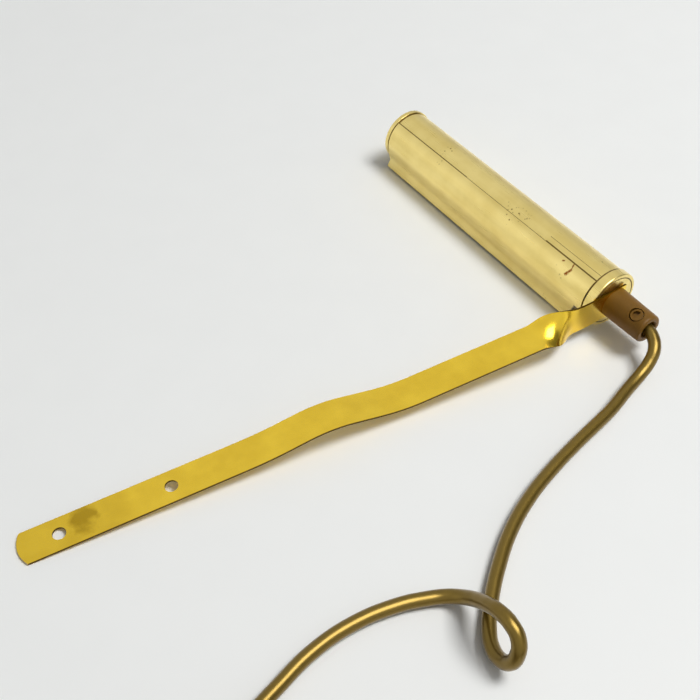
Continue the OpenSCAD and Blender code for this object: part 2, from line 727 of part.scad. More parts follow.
// Plug: a flat two-pin body with a sleeve round the lead
sleeve_l = 20;
plug_x = sleeve_x + sleeve_l;
module plug_outline() {
  shoulder = 8;
  nose = 4;
  back = 14;
  side = plug_w / 2;
  polygon([[0, -back / 2], [shoulder, -side], [plug_l - nose, -side], [plug_l, nose - side],
    [plug_l, side - nose], [plug_l - nose, side], [shoulder, side], [0, back / 2]]);
}
pin_root = 8;
root_r = pin_d / 2 - 0.4;
module at_pins() {
  for (s = [-1, 1]) translate([plug_x + plug_l, plug_y + s * pin_pitch / 2, plug_z])
    rotate([0, 90, 0]) children();
}
module plug_body() {
  color(brown) difference() {
    translate([plug_x, plug_y, 0]) linear_extrude(plug_t) plug_outline();
    at_pins() translate([0, 0, -pin_root - seat_gap]) cylinder(h = 2 * pin_root, r = root_r + seat_gap);
  }
}
module plug_sleeve() {
  color(brown) translate([sleeve_x, plug_y, plug_z]) rotate([0, 90, 0]) difference() {
    cylinder(h = sleeve_l, r1 = cord_r + 1, r2 = plug_t / 2 - 1);
    translate([0, 0, -cut]) cylinder(h = 4, r = cord_r + seat_gap);
  }
}
module plug_pins() {
  color(brass) at_pins() union() {
    cylinder(h = pin_l, r = pin_d / 2);
    translate([0, 0, -pin_root]) cylinder(h = pin_root + pin_l / 2, r = root_r);
  }
}

from_origin() mounting_strap();
from_origin() cord_grip();
from_origin() clamp_screw();
from_origin() threaded_nipple();
from_origin() fibre_washer();
from_origin() spring_washer();
from_origin() lock_nut();
from_origin() near_end_cap();
from_origin() far_end_cap();
from_origin() tube_shell();
from_origin() shutter();
from_origin() far_pivot();
from_origin() holder_body();
from_origin() contact_plate();
from_origin() screw_shell();
from_origin() centre_contact();
from_origin() terminal_screws();
from_origin() live_wire();
from_origin() neutral_wire();
from_origin() bulb_glass();
from_origin() bulb_cap();
from_origin() bulb_tip();
from_origin() filament();
from_origin() cord_lead();
from_origin() cord_tail();
from_origin() cord_coil();
from_origin() cord_end();
from_origin() coil_tie();
from_origin() switch_base();
from_origin() switch_cover();
from_origin() switch_rocker();
from_origin() switch_pin();
from_origin() switch_contacts();
from_origin() switch_screws();
from_origin() plug_body();
from_origin() plug_sleeve();
from_origin() plug_pins();
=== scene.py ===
"""Finished pieces and materials of a brass tube picture light, round its solid frame."""

import math

import bmesh
import bpy
from bpy.props import FloatProperty, FloatVectorProperty, PointerProperty
from mathutils import Euler, Matrix, Vector


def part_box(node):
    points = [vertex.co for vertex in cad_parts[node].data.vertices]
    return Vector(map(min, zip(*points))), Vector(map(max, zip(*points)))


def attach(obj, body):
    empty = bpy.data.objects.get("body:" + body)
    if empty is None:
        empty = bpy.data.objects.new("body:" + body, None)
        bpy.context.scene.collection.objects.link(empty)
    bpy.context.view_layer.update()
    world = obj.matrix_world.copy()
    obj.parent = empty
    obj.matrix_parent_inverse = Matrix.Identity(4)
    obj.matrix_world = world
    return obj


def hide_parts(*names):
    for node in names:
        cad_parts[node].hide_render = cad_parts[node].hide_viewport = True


bl_info = {
    "name": "Tube Picture Light",
    "version": (1, 0, 0),
    "blender": (4, 5, 0),
    "location": "3D View > Sidebar > Picture Light",
    "description": "Dresses the frame of a tube picture light with its finished pieces",
    "category": "Object",
}

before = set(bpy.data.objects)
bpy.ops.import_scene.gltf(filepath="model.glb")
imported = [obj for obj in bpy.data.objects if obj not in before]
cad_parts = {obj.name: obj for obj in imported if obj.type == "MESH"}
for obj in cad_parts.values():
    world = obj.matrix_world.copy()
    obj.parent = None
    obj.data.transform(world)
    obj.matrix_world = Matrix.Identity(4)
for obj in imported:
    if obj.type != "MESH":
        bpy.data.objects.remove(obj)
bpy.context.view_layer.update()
MM = 0.001

# The tube's axis runs along Y. Lengths along the lamp are in millimetres from the near cap's outer face,
# sideways from the axis and upwards from the table.
NEAR_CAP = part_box("near_end_cap")
FAR_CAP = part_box("far_end_cap")
AXIS_X = (NEAR_CAP[0].x + NEAR_CAP[1].x) / 2
AXIS_H = (NEAR_CAP[0].z + NEAR_CAP[1].z) / 2 / MM
NEAR_Y = NEAR_CAP[0].y
CAP_R = (NEAR_CAP[1].x - NEAR_CAP[0].x) / 2 / MM
TUBE_L = (FAR_CAP[1].y - NEAR_Y) / MM
NEAR_SKIRT = (NEAR_CAP[1].y - NEAR_Y) / MM
MOUTH_Y = (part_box("cord_grip")[0].y - NEAR_Y) / MM
GRIP_Y = (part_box("cord_grip")[1].y - NEAR_Y) / MM
SHUTTER_Y = ((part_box("shutter")[0].y - NEAR_Y) / MM, (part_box("shutter")[1].y - NEAR_Y) / MM)
NIPPLE_R, PIVOT_R = 4.05, 2.05
CAP_WALL, CAP_SKIRT_WALL, CAP_EDGE_R, FAR_RIM = 0.6, 0.55, 0.7, 2.7

# The two sheets: the angles between which each is rolled, from the side away from the strap
SHELL_R, SHELL_ARC, SHUTTER_ARC = 14.6, (-50, 150), (123, 185)
# The shutter's straight part: depth, slope, the turn of its foot, and how much shallower its far end is
SHUTTER_DROP, SHUTTER_SLOPE, FOOT_TURN, FAR_RISE = 13, 5, 26, 2.6
# How far the far lower corner is cut back, row by row down the straight part
FAR_CUTS = (0, 0.3, 1.3, 3.8)
EAR_R, EAR_WALL = 7, 0.6
# Places along the shell between which painted shade lies, and the angles of the painted shade along the seam
# and of a painted reflection of the shutter's edge
SEAM_CUTS = (
    0.65, NEAR_SKIRT - 0.05, NEAR_SKIRT + 1.05, 42, 105, TUBE_L - FAR_RIM - 1, TUBE_L - FAR_RIM + 0.1,
    TUBE_L - 0.65,
)
SEAM_STARTS, SEAM_END, SEAM_REFLECTION = (120, 122, 121), 124.5, (108, 109)

# The strap's middle line: distance from the axis, and height of each knee above the table
STRAP_KNEES = ((24, AXIS_H), (121, 7.4), (157, 13.9), (186, 7.9), (296, 0.5))
STRAP_KNEE_R, STRAP_LEAN, STRAP_LEAN_R = 11, math.radians(8.8), 5
STRAP_TAB_Y, STRAP_TAB_PAST, STRAP_TIP_R = -1.0, 6.6, 14
STRAP_STATIONS, TIP_STEPS = 300, 8
SCREW_HOLE_R, HOLE_INSETS = 3, (18, 68)
# The twist's start and length, and the swell in it: its place, height and reach
TWIST = (24, 24)
SWELL_AT, SWELL_LIFT, SWELL_REACH = 36, 1.5, 10

# The cord grip, and the clamp screw in its side, by its distance from the mouth
GRIP_BACK_R, GRIP_MOUTH_R, GRIP_LIP_R, GRIP_SEAT = 8, 7.5, 1.2, 10
CLAMP_PLACE, CLAMP_LEAN, CLAMP_HOLE_R = 6.8, math.radians(-25), 3.65
CLAMP_R, CLAMP_TOP, CLAMP_H = 3.2, 7, 3.85

# The lead's route on the table: sideways, along, and the height of its underside
LEAD_ROUTE = (
    (-0.9, -28.6, 11.4), (-4.5, -33.8, 9.2), (-9.5, -36.4, 5.4), (-15.3, -37.7, 2.4), (-21.9, -39.1, 1),
    (-28.5, -40.8, 0.5), (-35, -42.8, 0.2), (-41.6, -44.6, 0), (-48.3, -46, 0), (-67, -49.6, 0),
    (-85.6, -53.9, 0), (-103.8, -59.5, 0), (-121.1, -67.3, 0), (-137.1, -77.7, 0), (-151.8, -89.8, 0),
    (-158.8, -97.2, 0), (-163, -103.8, 0.4), (-164.5, -109.9, 2.1), (-164, -114.5, 6.2),
    (-161.9, -115.4, 11.9), (-159.8, -112.5, 16.9), (-159.1, -106.9, 19.4), (-158.8, -100.8, 18.2),
    (-158.5, -95.5, 14.8), (-158.3, -90.7, 10.7), (-158.6, -86.2, 6.7), (-160.3, -81.5, 3),
    (-164.3, -76.9, 0.8), (-171.6, -72.8, 0.1), (-181.7, -68.9, 0), (-201.3, -65.3, 0), (-221.2, -66.1, 0),
    (-240.6, -70.8, 0), (-254, -74.7, 1),
)
TAIL_ROUTE = (
    (-341.5, -104.5, 2), (-345.5, -111.5, 0.7), (-347, -120, 0.1), (-347, -133, 0), (-347, -146, 0),
    (-347, -160, 0), (-346.3, -172, 0), (-343, -182, 0.1), (-336.5, -189, 0.5), (-327, -193, 0.9),
    (-314, -193.4, 1.1), (-294, -193.4, 1.1), (-270, -193.4, 1.1),
)
END_ROUTE = ((-222, -190, 7.9), (-214, -190, 7.1), (-206, -190, 5.5), (-198, -190, 4.2))
# The coil's centre, inner radius, steps between its turns and its two layers, first height and turns
COIL_CENTRE = (-238, -148)
COIL_IN_R, TURN_STEP, LAYER_STEP, COIL_H, COIL_TURNS, TURN_POINTS = 24.7, 6.9, 6.8, 4.2, 6, 24

# The lead switch, its rocker and the plug with its sleeve and pins
SWITCH_AT, SWITCH_TURN, SWITCH_SIZE = (-300, -88.5), math.radians(196.7), (58, 26, 16)
SWITCH_SCREWS, SWITCH_WALL, SWITCH_PARTING, SWITCH_EDGE_R = ((-19, -8.6), (19, 8.6)), 1.6, 0.12, 2.2
ROCKER_SIZE, ROCKER_PIN_R, ROCKER_PIN_DROP, ROCKER_REST = (17, 11, 4.6), 1.25, 3.4, math.radians(9)
PLUG_AT, PLUG_SIZE, SLEEVE_X, SLEEVE_L = (-168, -190, 7), (32, 27, 14), -188, 20
SLEEVE_RIBS, RIB_STEP = 6, 3.2
PLUG_PIN_R, PLUG_PIN_L, PLUG_PINS_APART = 2, 19, 18.6


def linear(code):
    """An sRGB hex value as linear red, green, blue and alpha."""
    parts = [int(code[i : i + 2], 16) / 255 for i in (1, 3, 5)]
    return [c / 12.92 if c <= 0.04045 else ((c + 0.055) / 1.055) ** 2.4 for c in parts] + [1.0]


def lamp(x, y, z):
    """A point of the lamp, given in millimetres, in the shared frame."""
    return Vector((AXIS_X + x * MM, NEAR_Y + y * MM, z * MM))


def length_setting(name, about, size):
    """A length that the panel shows, from millimetres."""
    return FloatProperty(name=name, description=about, default=size * MM, unit="LENGTH")


def colour_setting(name, about, code):
    """A colour that the panel shows, from its sRGB hex value."""
    return FloatVectorProperty(name=name, description=about, subtype="COLOR", size=4, default=linear(code))


class LampSizes(bpy.types.PropertyGroup):
    """Sizes of the finished pieces."""

    lead_width: length_setting("Lead Width", "Diameter of the round lead", 6.2)
    strap_width: length_setting("Strap Width", "Width of the strap", 16.2)
    strap_gauge: length_setting("Strap Gauge", "Thickness of the strap", 1.0)
    shell_gauge: length_setting("Shell Gauge", "Thickness of the tube's sheet", 0.5)
    shutter_gauge: length_setting("Shutter Gauge", "Thickness of the shutter's sheet", 0.4)


class LampColours(bpy.types.PropertyGroup):
    """Main colours of the finished pieces."""

    tube: colour_setting("Tube", "Pale polished brass of the tube", "#E8D388")
    strap: colour_setting("Strap", "Deep lacquered brass of the strap", "#ECC83C")
    grip: colour_setting("Grip", "Brown moulded plastic", "#745114")
    lead: colour_setting("Lead", "Brown gold sheath of the lead", "#735D1F")
    floor: colour_setting("Floor", "Pale table top", "#F1F2F0")


def sizes():
    """The sizes that the panel shows."""
    return bpy.context.scene.picture_light_sizes


def colours():
    """The colours that the panel shows."""
    return bpy.context.scene.picture_light_colours


# Making pieces


def only(piece=None):
    """Leaves object mode with nothing but this piece selected."""
    if bpy.context.mode != "OBJECT":
        bpy.ops.object.mode_set(mode="OBJECT")
    bpy.ops.object.select_all(action="DESELECT")
    if piece:
        piece.select_set(True)
        bpy.context.view_layer.objects.active = piece


def begin(name, primitive, **settings):
    """Adds one primitive and goes into edit mode with all of it selected."""
    only()
    primitive(**settings)
    piece = bpy.context.object
    piece.name = piece.data.name = name
    bpy.ops.object.transform_apply(location=True, rotation=True, scale=True)
    bpy.ops.object.mode_set(mode="EDIT")
    bpy.ops.mesh.select_mode(type="VERT")
    bpy.ops.mesh.select_all(action="SELECT")
    return piece


def pick(piece, kind, test):
    """In edit mode, selects the vertices, edges or faces whose middle passes the test."""
    bpy.ops.mesh.select_mode(type=kind)
    bpy.ops.mesh.select_all(action="DESELECT")
    mesh = bmesh.from_edit_mesh(piece.data)
    for part in {"VERT": mesh.verts, "EDGE": mesh.edges, "FACE": mesh.faces}[kind]:
        corners = [part] if kind == "VERT" else part.verts
        middle = sum((v.co for v in corners), Vector()) / len(corners)
        part.select_set(bool(test(middle, part)))
    mesh.select_flush_mode()
    bmesh.update_edit_mesh(piece.data)


def draw_out(step, scale=None, about=None):
    """Extrudes what is selected, moves it and resizes it about a point."""
    bpy.ops.mesh.extrude_region_move(TRANSFORM_OT_translate={"value": step})
    if scale:
        bpy.ops.transform.resize(value=scale, center_override=about)


def modify(piece, kind, **settings):
    """Adds a modifier and applies it."""
    only(piece)
    modifier = piece.modifiers.new(kind.title(), kind)
    for key, value in settings.items():
        setattr(modifier, key, value)
    bpy.ops.object.modifier_apply(modifier=modifier.name)


def soften(piece, width, angle=50, segments=2):
    """Rounds the edges that turn by more than an angle in degrees, by a width in millimetres."""
    limit = math.radians(angle)
    modify(piece, "BEVEL", width=width * MM, segments=segments, limit_method="ANGLE", angle_limit=limit)


def block(name, place, size):
    """A box of a size in millimetres, in edit mode."""
    return begin(
        name, bpy.ops.mesh.primitive_cube_add, size=1, location=place, scale=[side * MM for side in size]
    )


def carve(piece, tool, operation="DIFFERENCE"):
    """Cuts one piece with another and removes the tool."""
    only(tool)
    modify(piece, "BOOLEAN", object=tool, operation=operation, solver="EXACT")
    bpy.data.objects.remove(tool)


def turned(name, profile, sides):
    """A ring drawn out and resized step by step along the tube's axis, through radius and place."""
    radius, place = profile[0]
    piece = begin(
        name, bpy.ops.mesh.primitive_circle_add, vertices=sides, radius=radius * MM,
        location=lamp(0, place, AXIS_H), rotation=(math.pi / 2, 0, 0),
    )
    for (r0, y0), (r1, y1) in zip(profile, profile[1:]):
        draw_out((0, (y1 - y0) * MM, 0), (r1 / r0, 1, r1 / r0), lamp(0, y1, AXIS_H))
    bpy.ops.mesh.select_all(action="SELECT")
    bpy.ops.mesh.remove_doubles(threshold=1e-7)
    bpy.ops.mesh.fill_holes(sides=sides)
    bpy.ops.mesh.normals_make_consistent(inside=False)
    only(piece)
    return piece


def corner(r, y, size, turns, steps=5):
    """Profile points of a rounded corner: centre, radius, and the two angles it turns between."""
    low, high = turns
    angles = [math.radians(low + (high - low) * k / steps) for k in range(steps + 1)]
    return [(r + size * math.cos(a), y + size * math.sin(a)) for a in angles]


def settle(piece, finish, body, *nodes, slot, smooth=32):
    """Gives a finished piece its place at the origin, its finish, its body and what it replaces."""
    only(piece)
    bpy.ops.object.transform_apply(location=True, rotation=True, scale=True)
    if not piece.data.materials:
        piece.data.materials.append(finish_of(finish))
    if piece.type == "MESH":
        bpy.ops.object.shade_smooth_by_angle(angle=math.radians(smooth))
        modify(piece, "WEIGHTED_NORMAL", keep_sharp=True)
    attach(piece, body)
    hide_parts(*nodes)


def stain(piece, finish, test):
    """Gives the faces that pass the test a second finish."""
    only(piece)
    piece.data.materials.append(finish_of(finish))
    piece.active_material_index = len(piece.data.materials) - 1
    bpy.ops.object.mode_set(mode="EDIT")
    pick(piece, "FACE", test)
    bpy.ops.object.material_slot_assign()
    only(piece)


def around(p):
    """The angle of a point round the tube's axis, from the side away from the strap, in degrees."""
    return math.degrees(math.atan2(p.z - AXIS_H * MM, p.x - AXIS_X)) % 360


def join(piece, *others):
    """Makes several pieces one."""
    only(piece)
    for other in others:
        other.select_set(True)
    bpy.ops.object.join()
    return piece


# Materials


def add(tree, kind, sockets=(), out=0, **settings):
    """Adds a node with its settings and gives one of its outputs; a socket gets a value or a link."""
    node = tree.nodes.new(kind)
    for key, value in settings.items():
        setattr(node, key, value)
    for key, value in dict(sockets).items():
        if isinstance(value, bpy.types.NodeSocket):
            tree.links.new(value, node.inputs[key])
        else:
            node.inputs[key].default_value = value
    return node.outputs[out]


def new_finish(name):
    """An empty material with a Principled shader, and its tree, shader and Object coordinates."""
    finish = bpy.data.materials.new(name)
    finish.use_nodes = True
    tree = finish.node_tree
    shader = tree.nodes["Principled BSDF"]
    return finish, tree, shader, add(tree, "ShaderNodeTexCoord", out="Object")


def surface(tree, shader, colour, fine, rough, relief):
    """Gives the shader its colour, a roughness that varies between two values, and a fine relief."""
    low, high = rough
    height, strength, distance = relief
    tree.links.new(colour, shader.inputs["Base Color"])
    varied = add(tree, "ShaderNodeMapRange", {"Value": fine, "To Min": low, "To Max": high})
    tree.links.new(varied, shader.inputs["Roughness"])
    bump = add(tree, "ShaderNodeBump", {"Height": height, "Strength": strength, "Distance": distance})
    tree.links.new(bump, shader.inputs["Normal"])


def streak(tree, at, start, end, size, grain):
    """A mask with a ragged edge along a short line: 1 inside its size, fading to 0 outside."""
    wander = add(tree, "ShaderNodeTexNoise", {"Vector": at, "Scale": grain, "Detail": 5.0}, "Color")
    moved = add(tree, "ShaderNodeVectorMath", {0: wander, 1: (size * 2,) * 3}, operation="MULTIPLY")
    shifted = add(tree, "ShaderNodeVectorMath", {0: at, 1: moved}, operation="ADD")
    first = [c + size for c in start]
    run = end - start
    out = add(tree, "ShaderNodeVectorMath", {0: shifted, 1: first}, operation="SUBTRACT")
    along = add(tree, "ShaderNodeVectorMath", {0: out, 1: run}, "Value", operation="DOT_PRODUCT")
    share = add(tree, "ShaderNodeMapRange", {"Value": along, "From Max": run.length_squared})
    nearest = add(tree, "ShaderNodeVectorMath", {0: run, "Scale": share}, operation="SCALE")
    far = add(tree, "ShaderNodeVectorMath", {0: out, 1: nearest}, "Value", operation="DISTANCE")
    edge = {"Value": far, "From Min": size * 0.3, "From Max": size, "To Min": 1, "To Max": 0}
    return add(tree, "ShaderNodeMapRange", edge)


# Corrosion on the shutter by the near cap: a bite 4 mm long, a thin branch from it up to the seam and a dot
# beside it, each with its two ends, its half width and the scale of its ragged edge
BITES = (
    (lamp(-12.9, 21.4, 23.2), lamp(-10.8, 19.9, 25.9), 1.0 * MM, 900.0),
    (lamp(-10.8, 19.9, 25.9), lamp(-7.8, 20.9, 28.2), 0.5 * MM, 1400.0),
    (lamp(-10.1, 26.8, 26.6), lamp(-9.7, 26.2, 26.9), 0.6 * MM, 1400.0),
)


def tube_brass():
    """Drawn brass sheet, buffed lengthwise and left to dull: pale yellow and softly clouded, with marks."""
    finish, tree, shader, at = new_finish("drawn_brass_sheet")
    base = colours().tube
    shader.inputs["Metallic"].default_value = 1.0
    stretched = add(tree, "ShaderNodeMapping", {"Vector": at, "Scale": (1, 0.05, 1)})
    # Buffing lines are finer than a pixel; they are drawn about 1 mm apart so that they show
    lines = add(tree, "ShaderNodeTexNoise", {"Vector": stretched, "Scale": 900.0, "Detail": 3.0})
    # Lengthwise bands from the rolls, 5 mm wide
    bands = add(tree, "ShaderNodeTexNoise", {"Vector": stretched, "Scale": 190.0, "Detail": 2.0})
    # Clouds of dulled lacquer, 15 mm across
    clouds = add(tree, "ShaderNodeTexNoise", {"Vector": at, "Scale": 75.0, "Detail": 5.0})
    mottle = add(tree, "ShaderNodeMath", {0: bands, 1: clouds}, operation="ADD")
    level = add(tree, "ShaderNodeMapRange", {"Value": mottle, "From Min": 0.75, "From Max": 1.25})
    deep = [base[0] * 0.86, base[1] * 0.83, base[2] * 0.72, 1]
    # Pits of tarnish, a few tenths of a millimetre wide, in clusters
    pits = add(tree, "ShaderNodeTexVoronoi", {"Vector": at, "Scale": 520.0}, "Distance")
    edge = {"Value": pits, "From Min": 0.12, "From Max": 0.3, "To Min": 1, "To Max": 0}
    small = add(tree, "ShaderNodeMapRange", edge)
    groups = add(tree, "ShaderNodeTexNoise", {"Vector": at, "Scale": 62.0, "Detail": 1.0})
    sparse = add(tree, "ShaderNodeMapRange", {"Value": groups, "From Min": 0.67, "From Max": 0.73})
    marks = add(tree, "ShaderNodeMath", {0: small, 1: sparse}, operation="MULTIPLY")
    # Corrosion is red-brown
    corroded = 0.0
    for place in BITES:
        bite = streak(tree, at, *place)
        corroded = add(tree, "ShaderNodeMath", {0: bite, 1: corroded}, operation="MAXIMUM")
    colour = deep
    for mask, over in ((level, list(base)), (marks, linear("#6E5522")), (corroded, linear("#7E4210"))):
        sockets = {"Factor": mask, "A": colour, "B": over}
        colour = add(tree, "ShaderNodeMix", sockets, "Result", data_type="RGBA")
    surface(tree, shader, colour, lines, (0.24, 0.34), (lines, 0.04, 0.0002))
    return finish


def strap_brass():
    """Rolled brass strip under clear lacquer: deep gold, smooth, with one dulled patch by the end hole."""
    finish, tree, shader, at = new_finish("lacquered_brass_strip")
    base = colours().strap
    shader.inputs["Metallic"].default_value = 1.0
    shader.inputs["Coat Weight"].default_value = 0.2
    shader.inputs["Coat Roughness"].default_value = 0.05
    # Cloudy lacquer, 12 mm across
    clouds = add(tree, "ShaderNodeTexNoise", {"Vector": at, "Scale": 80.0, "Detail": 4.0})
    deep = [base[0] * 0.9, base[1] * 0.88, base[2] * 0.8, 1]
    level = add(tree, "ShaderNodeMapRange", {"Value": clouds, "From Min": 0.35, "From Max": 0.65})
    # The patch is 16 mm across, and the strap is faintly darker from it to the tip
    patch = streak(tree, at, lamp(-267, 39, 2.5), lamp(-265, 38.7, 2.6), 8 * MM, 120.0)
    tip_fade = streak(tree, at, lamp(-294, 43, 1), lamp(-262, 38, 2.7), 22 * MM, 60.0)
    strong = add(tree, "ShaderNodeMath", {0: patch, 1: 0.75}, operation="MULTIPLY")
    faint = add(tree, "ShaderNodeMath", {0: tip_fade, 1: 0.22}, operation="MULTIPLY")
    dull = add(tree, "ShaderNodeMath", {0: strong, 1: faint}, operation="MAXIMUM")
    colour = deep
    for mask, over in ((level, list(base)), (dull, linear("#987704"))):
        sockets = {"Factor": mask, "A": colour, "B": over}
        colour = add(tree, "ShaderNodeMix", sockets, "Result", data_type="RGBA")
    fine = add(tree, "ShaderNodeTexNoise", {"Vector": at, "Scale": 700.0, "Detail": 3.0})
    surface(tree, shader, colour, fine, (0.17, 0.27), (clouds, 0.05, 0.0004))
    return finish


def plain(name, code, metallic=0.0, roughness=0.4, grain=400.0, depth=0.04, spread=0.1, **sockets):
    """A finish with a fine grain: colour, how metallic and rough it is, and the grain's size and depth."""
    finish, tree, shader, at = new_finish(name)
    base = linear(code) if isinstance(code, str) else list(code)
    shader.inputs["Metallic"].default_value = metallic
    noise = add(tree, "ShaderNodeTexNoise", {"Vector": at, "Scale": grain, "Detail": 4.0})
    shades = add(tree, "ShaderNodeValToRGB", {"Fac": noise})
    ends = shades.node.color_ramp.elements
    ends[0].color = [c * (1 - spread) for c in base[:3]] + [1]
    ends[1].color = [min(1, c * (1 + spread)) for c in base[:3]] + [1]
    surface(tree, shader, shades, noise, (roughness * 0.85, roughness * 1.15), (noise, depth, 0.0003))
    for key, value in sockets.items():
        shader.inputs[key.replace("_", " ")].default_value = value
    return finish


FINISHES = {}


def finish_of(name):
    """Each finish is made once."""
    makers = {
        "tube_brass": tube_brass,
        "strap_brass": strap_brass,
        # Moulded urea resin: brown, with a low shine
        "grip_plastic": lambda: plain(
            "brown_moulded_plastic", colours().grip, 0.0, 0.45, 700.0, 0.08, 0.15, Specular_IOR_Level=0.2
        ),
        # Soft PVC sheath with metal flake in it: brown gold, with a sheen along its length
        "lead_sheath": lambda: plain(
            "brown_gold_pvc_sheath", colours().lead, 0.8, 0.32, 500.0, 0.03, 0.1, Coat_Weight=0.2,
            Coat_Roughness=0.25,
        ),
        # Moulded resin of the rocker: darker and shinier than the shells
        "dark_plastic": lambda: plain("dark_brown_plastic", "#3A2714", 0.0, 0.3, 700.0, 0.05, 0.1),
        # Soft vinyl tie: dull and nearly black
        "tie_plastic": lambda: plain("soft_black_brown_tie", "#2B2118", 0.0, 0.5, 600.0, 0.06, 0.1),
        # Zinc plated steel: grey, with a soft shine
        "steel": lambda: plain("zinc_plated_steel", "#B9BBBE", 1.0, 0.3, 500.0, 0.02, 0.06),
        # Turned and pressed brass inside the lamp: clean and yellow
        "inner_brass": lambda: plain("turned_brass", "#D8BE62", 1.0, 0.28, 400.0, 0.02, 0.06),
        # Glazed steatite: off-white, with a clear gloss
        "porcelain": lambda: plain("glazed_steatite", "#EAE4D6", 0.0, 0.22, 200.0, 0.02, 0.03),
        # Pressed fibre: red-brown and dull
        "fibre": lambda: plain("vulcanised_fibre", "#5C3A22", 0.0, 0.7, 900.0, 0.2, 0.15),
        # Painted shade in the seams and grooves, standing in for the shadow in them: olive brown, with
        # little shine
        "seam_shade": lambda: plain("painted_seam_shade", "#6A5522", 0.6, 0.5, 900.0, 0.1, 0.3),
        # Painted shade on the strip's sides and in its holes: rough and brown, darker than its faces
        "strap_edge_shade": lambda: plain("shaded_brass_edge", "#4A3400", 1.0, 0.5, 700.0, 0.1, 0.25),
        # Drawn tungsten: dark grey
        "tungsten": lambda: plain("drawn_tungsten", "#77777B", 1.0, 0.4, 900.0, 0.02, 0.05),
        # Soft PVC round the inner wires: even colour, slightly shiny
        "brown_wire": lambda: plain("brown_wire_pvc", "#7B4A22", 0.0, 0.45, 500.0, 0.03, 0.08),
        "blue_wire": lambda: plain("blue_wire_pvc", "#2F5DA8", 0.0, 0.45, 500.0, 0.03, 0.08),
        # Glass fused round the bulb's contact: black and glossy
        "black_glass": lambda: plain("black_fused_glass", "#1C1C1E", 0.0, 0.12, 300.0, 0.02, 0.1),
        # Blown soda glass: clear, with a faint waviness
        "glass": lambda: plain(
            "blown_soda_glass", "#F4F8F8", 0.0, 0.03, 60.0, 0.01, 0.01, Transmission_Weight=1.0, IOR=1.5
        ),
    }
    if name not in FINISHES:
        FINISHES[name] = makers[name]()
    return FINISHES[name]


# Pieces


def bend(x, r):
    """0 before a knee at 0 and x after it, with a round of reach r between."""
    return 0 if x <= -r else x if x >= r else (x + r) ** 2 / (4 * r)


def strap_point(t):
    """The strap's middle line, by the distance from the tube's axis."""
    slopes = [0] + [(b[1] - a[1]) / (b[0] - a[0]) for a, b in zip(STRAP_KNEES, STRAP_KNEES[1:])]
    height = AXIS_H + sum(
        (b - a) * bend(t - knee[0], STRAP_KNEE_R) for a, b, knee in zip(slopes, slopes[1:], STRAP_KNEES)
    )
    aside = math.tan(STRAP_LEAN) * bend(t - TWIST[0] + STRAP_LEAN_R, STRAP_LEAN_R)
    return lamp(-t, STRAP_TAB_Y + aside, height)


def ease(x):
    """Goes smoothly from 0 to 1."""
    x = min(1, max(0, x))
    return x * x * (3 - 2 * x)


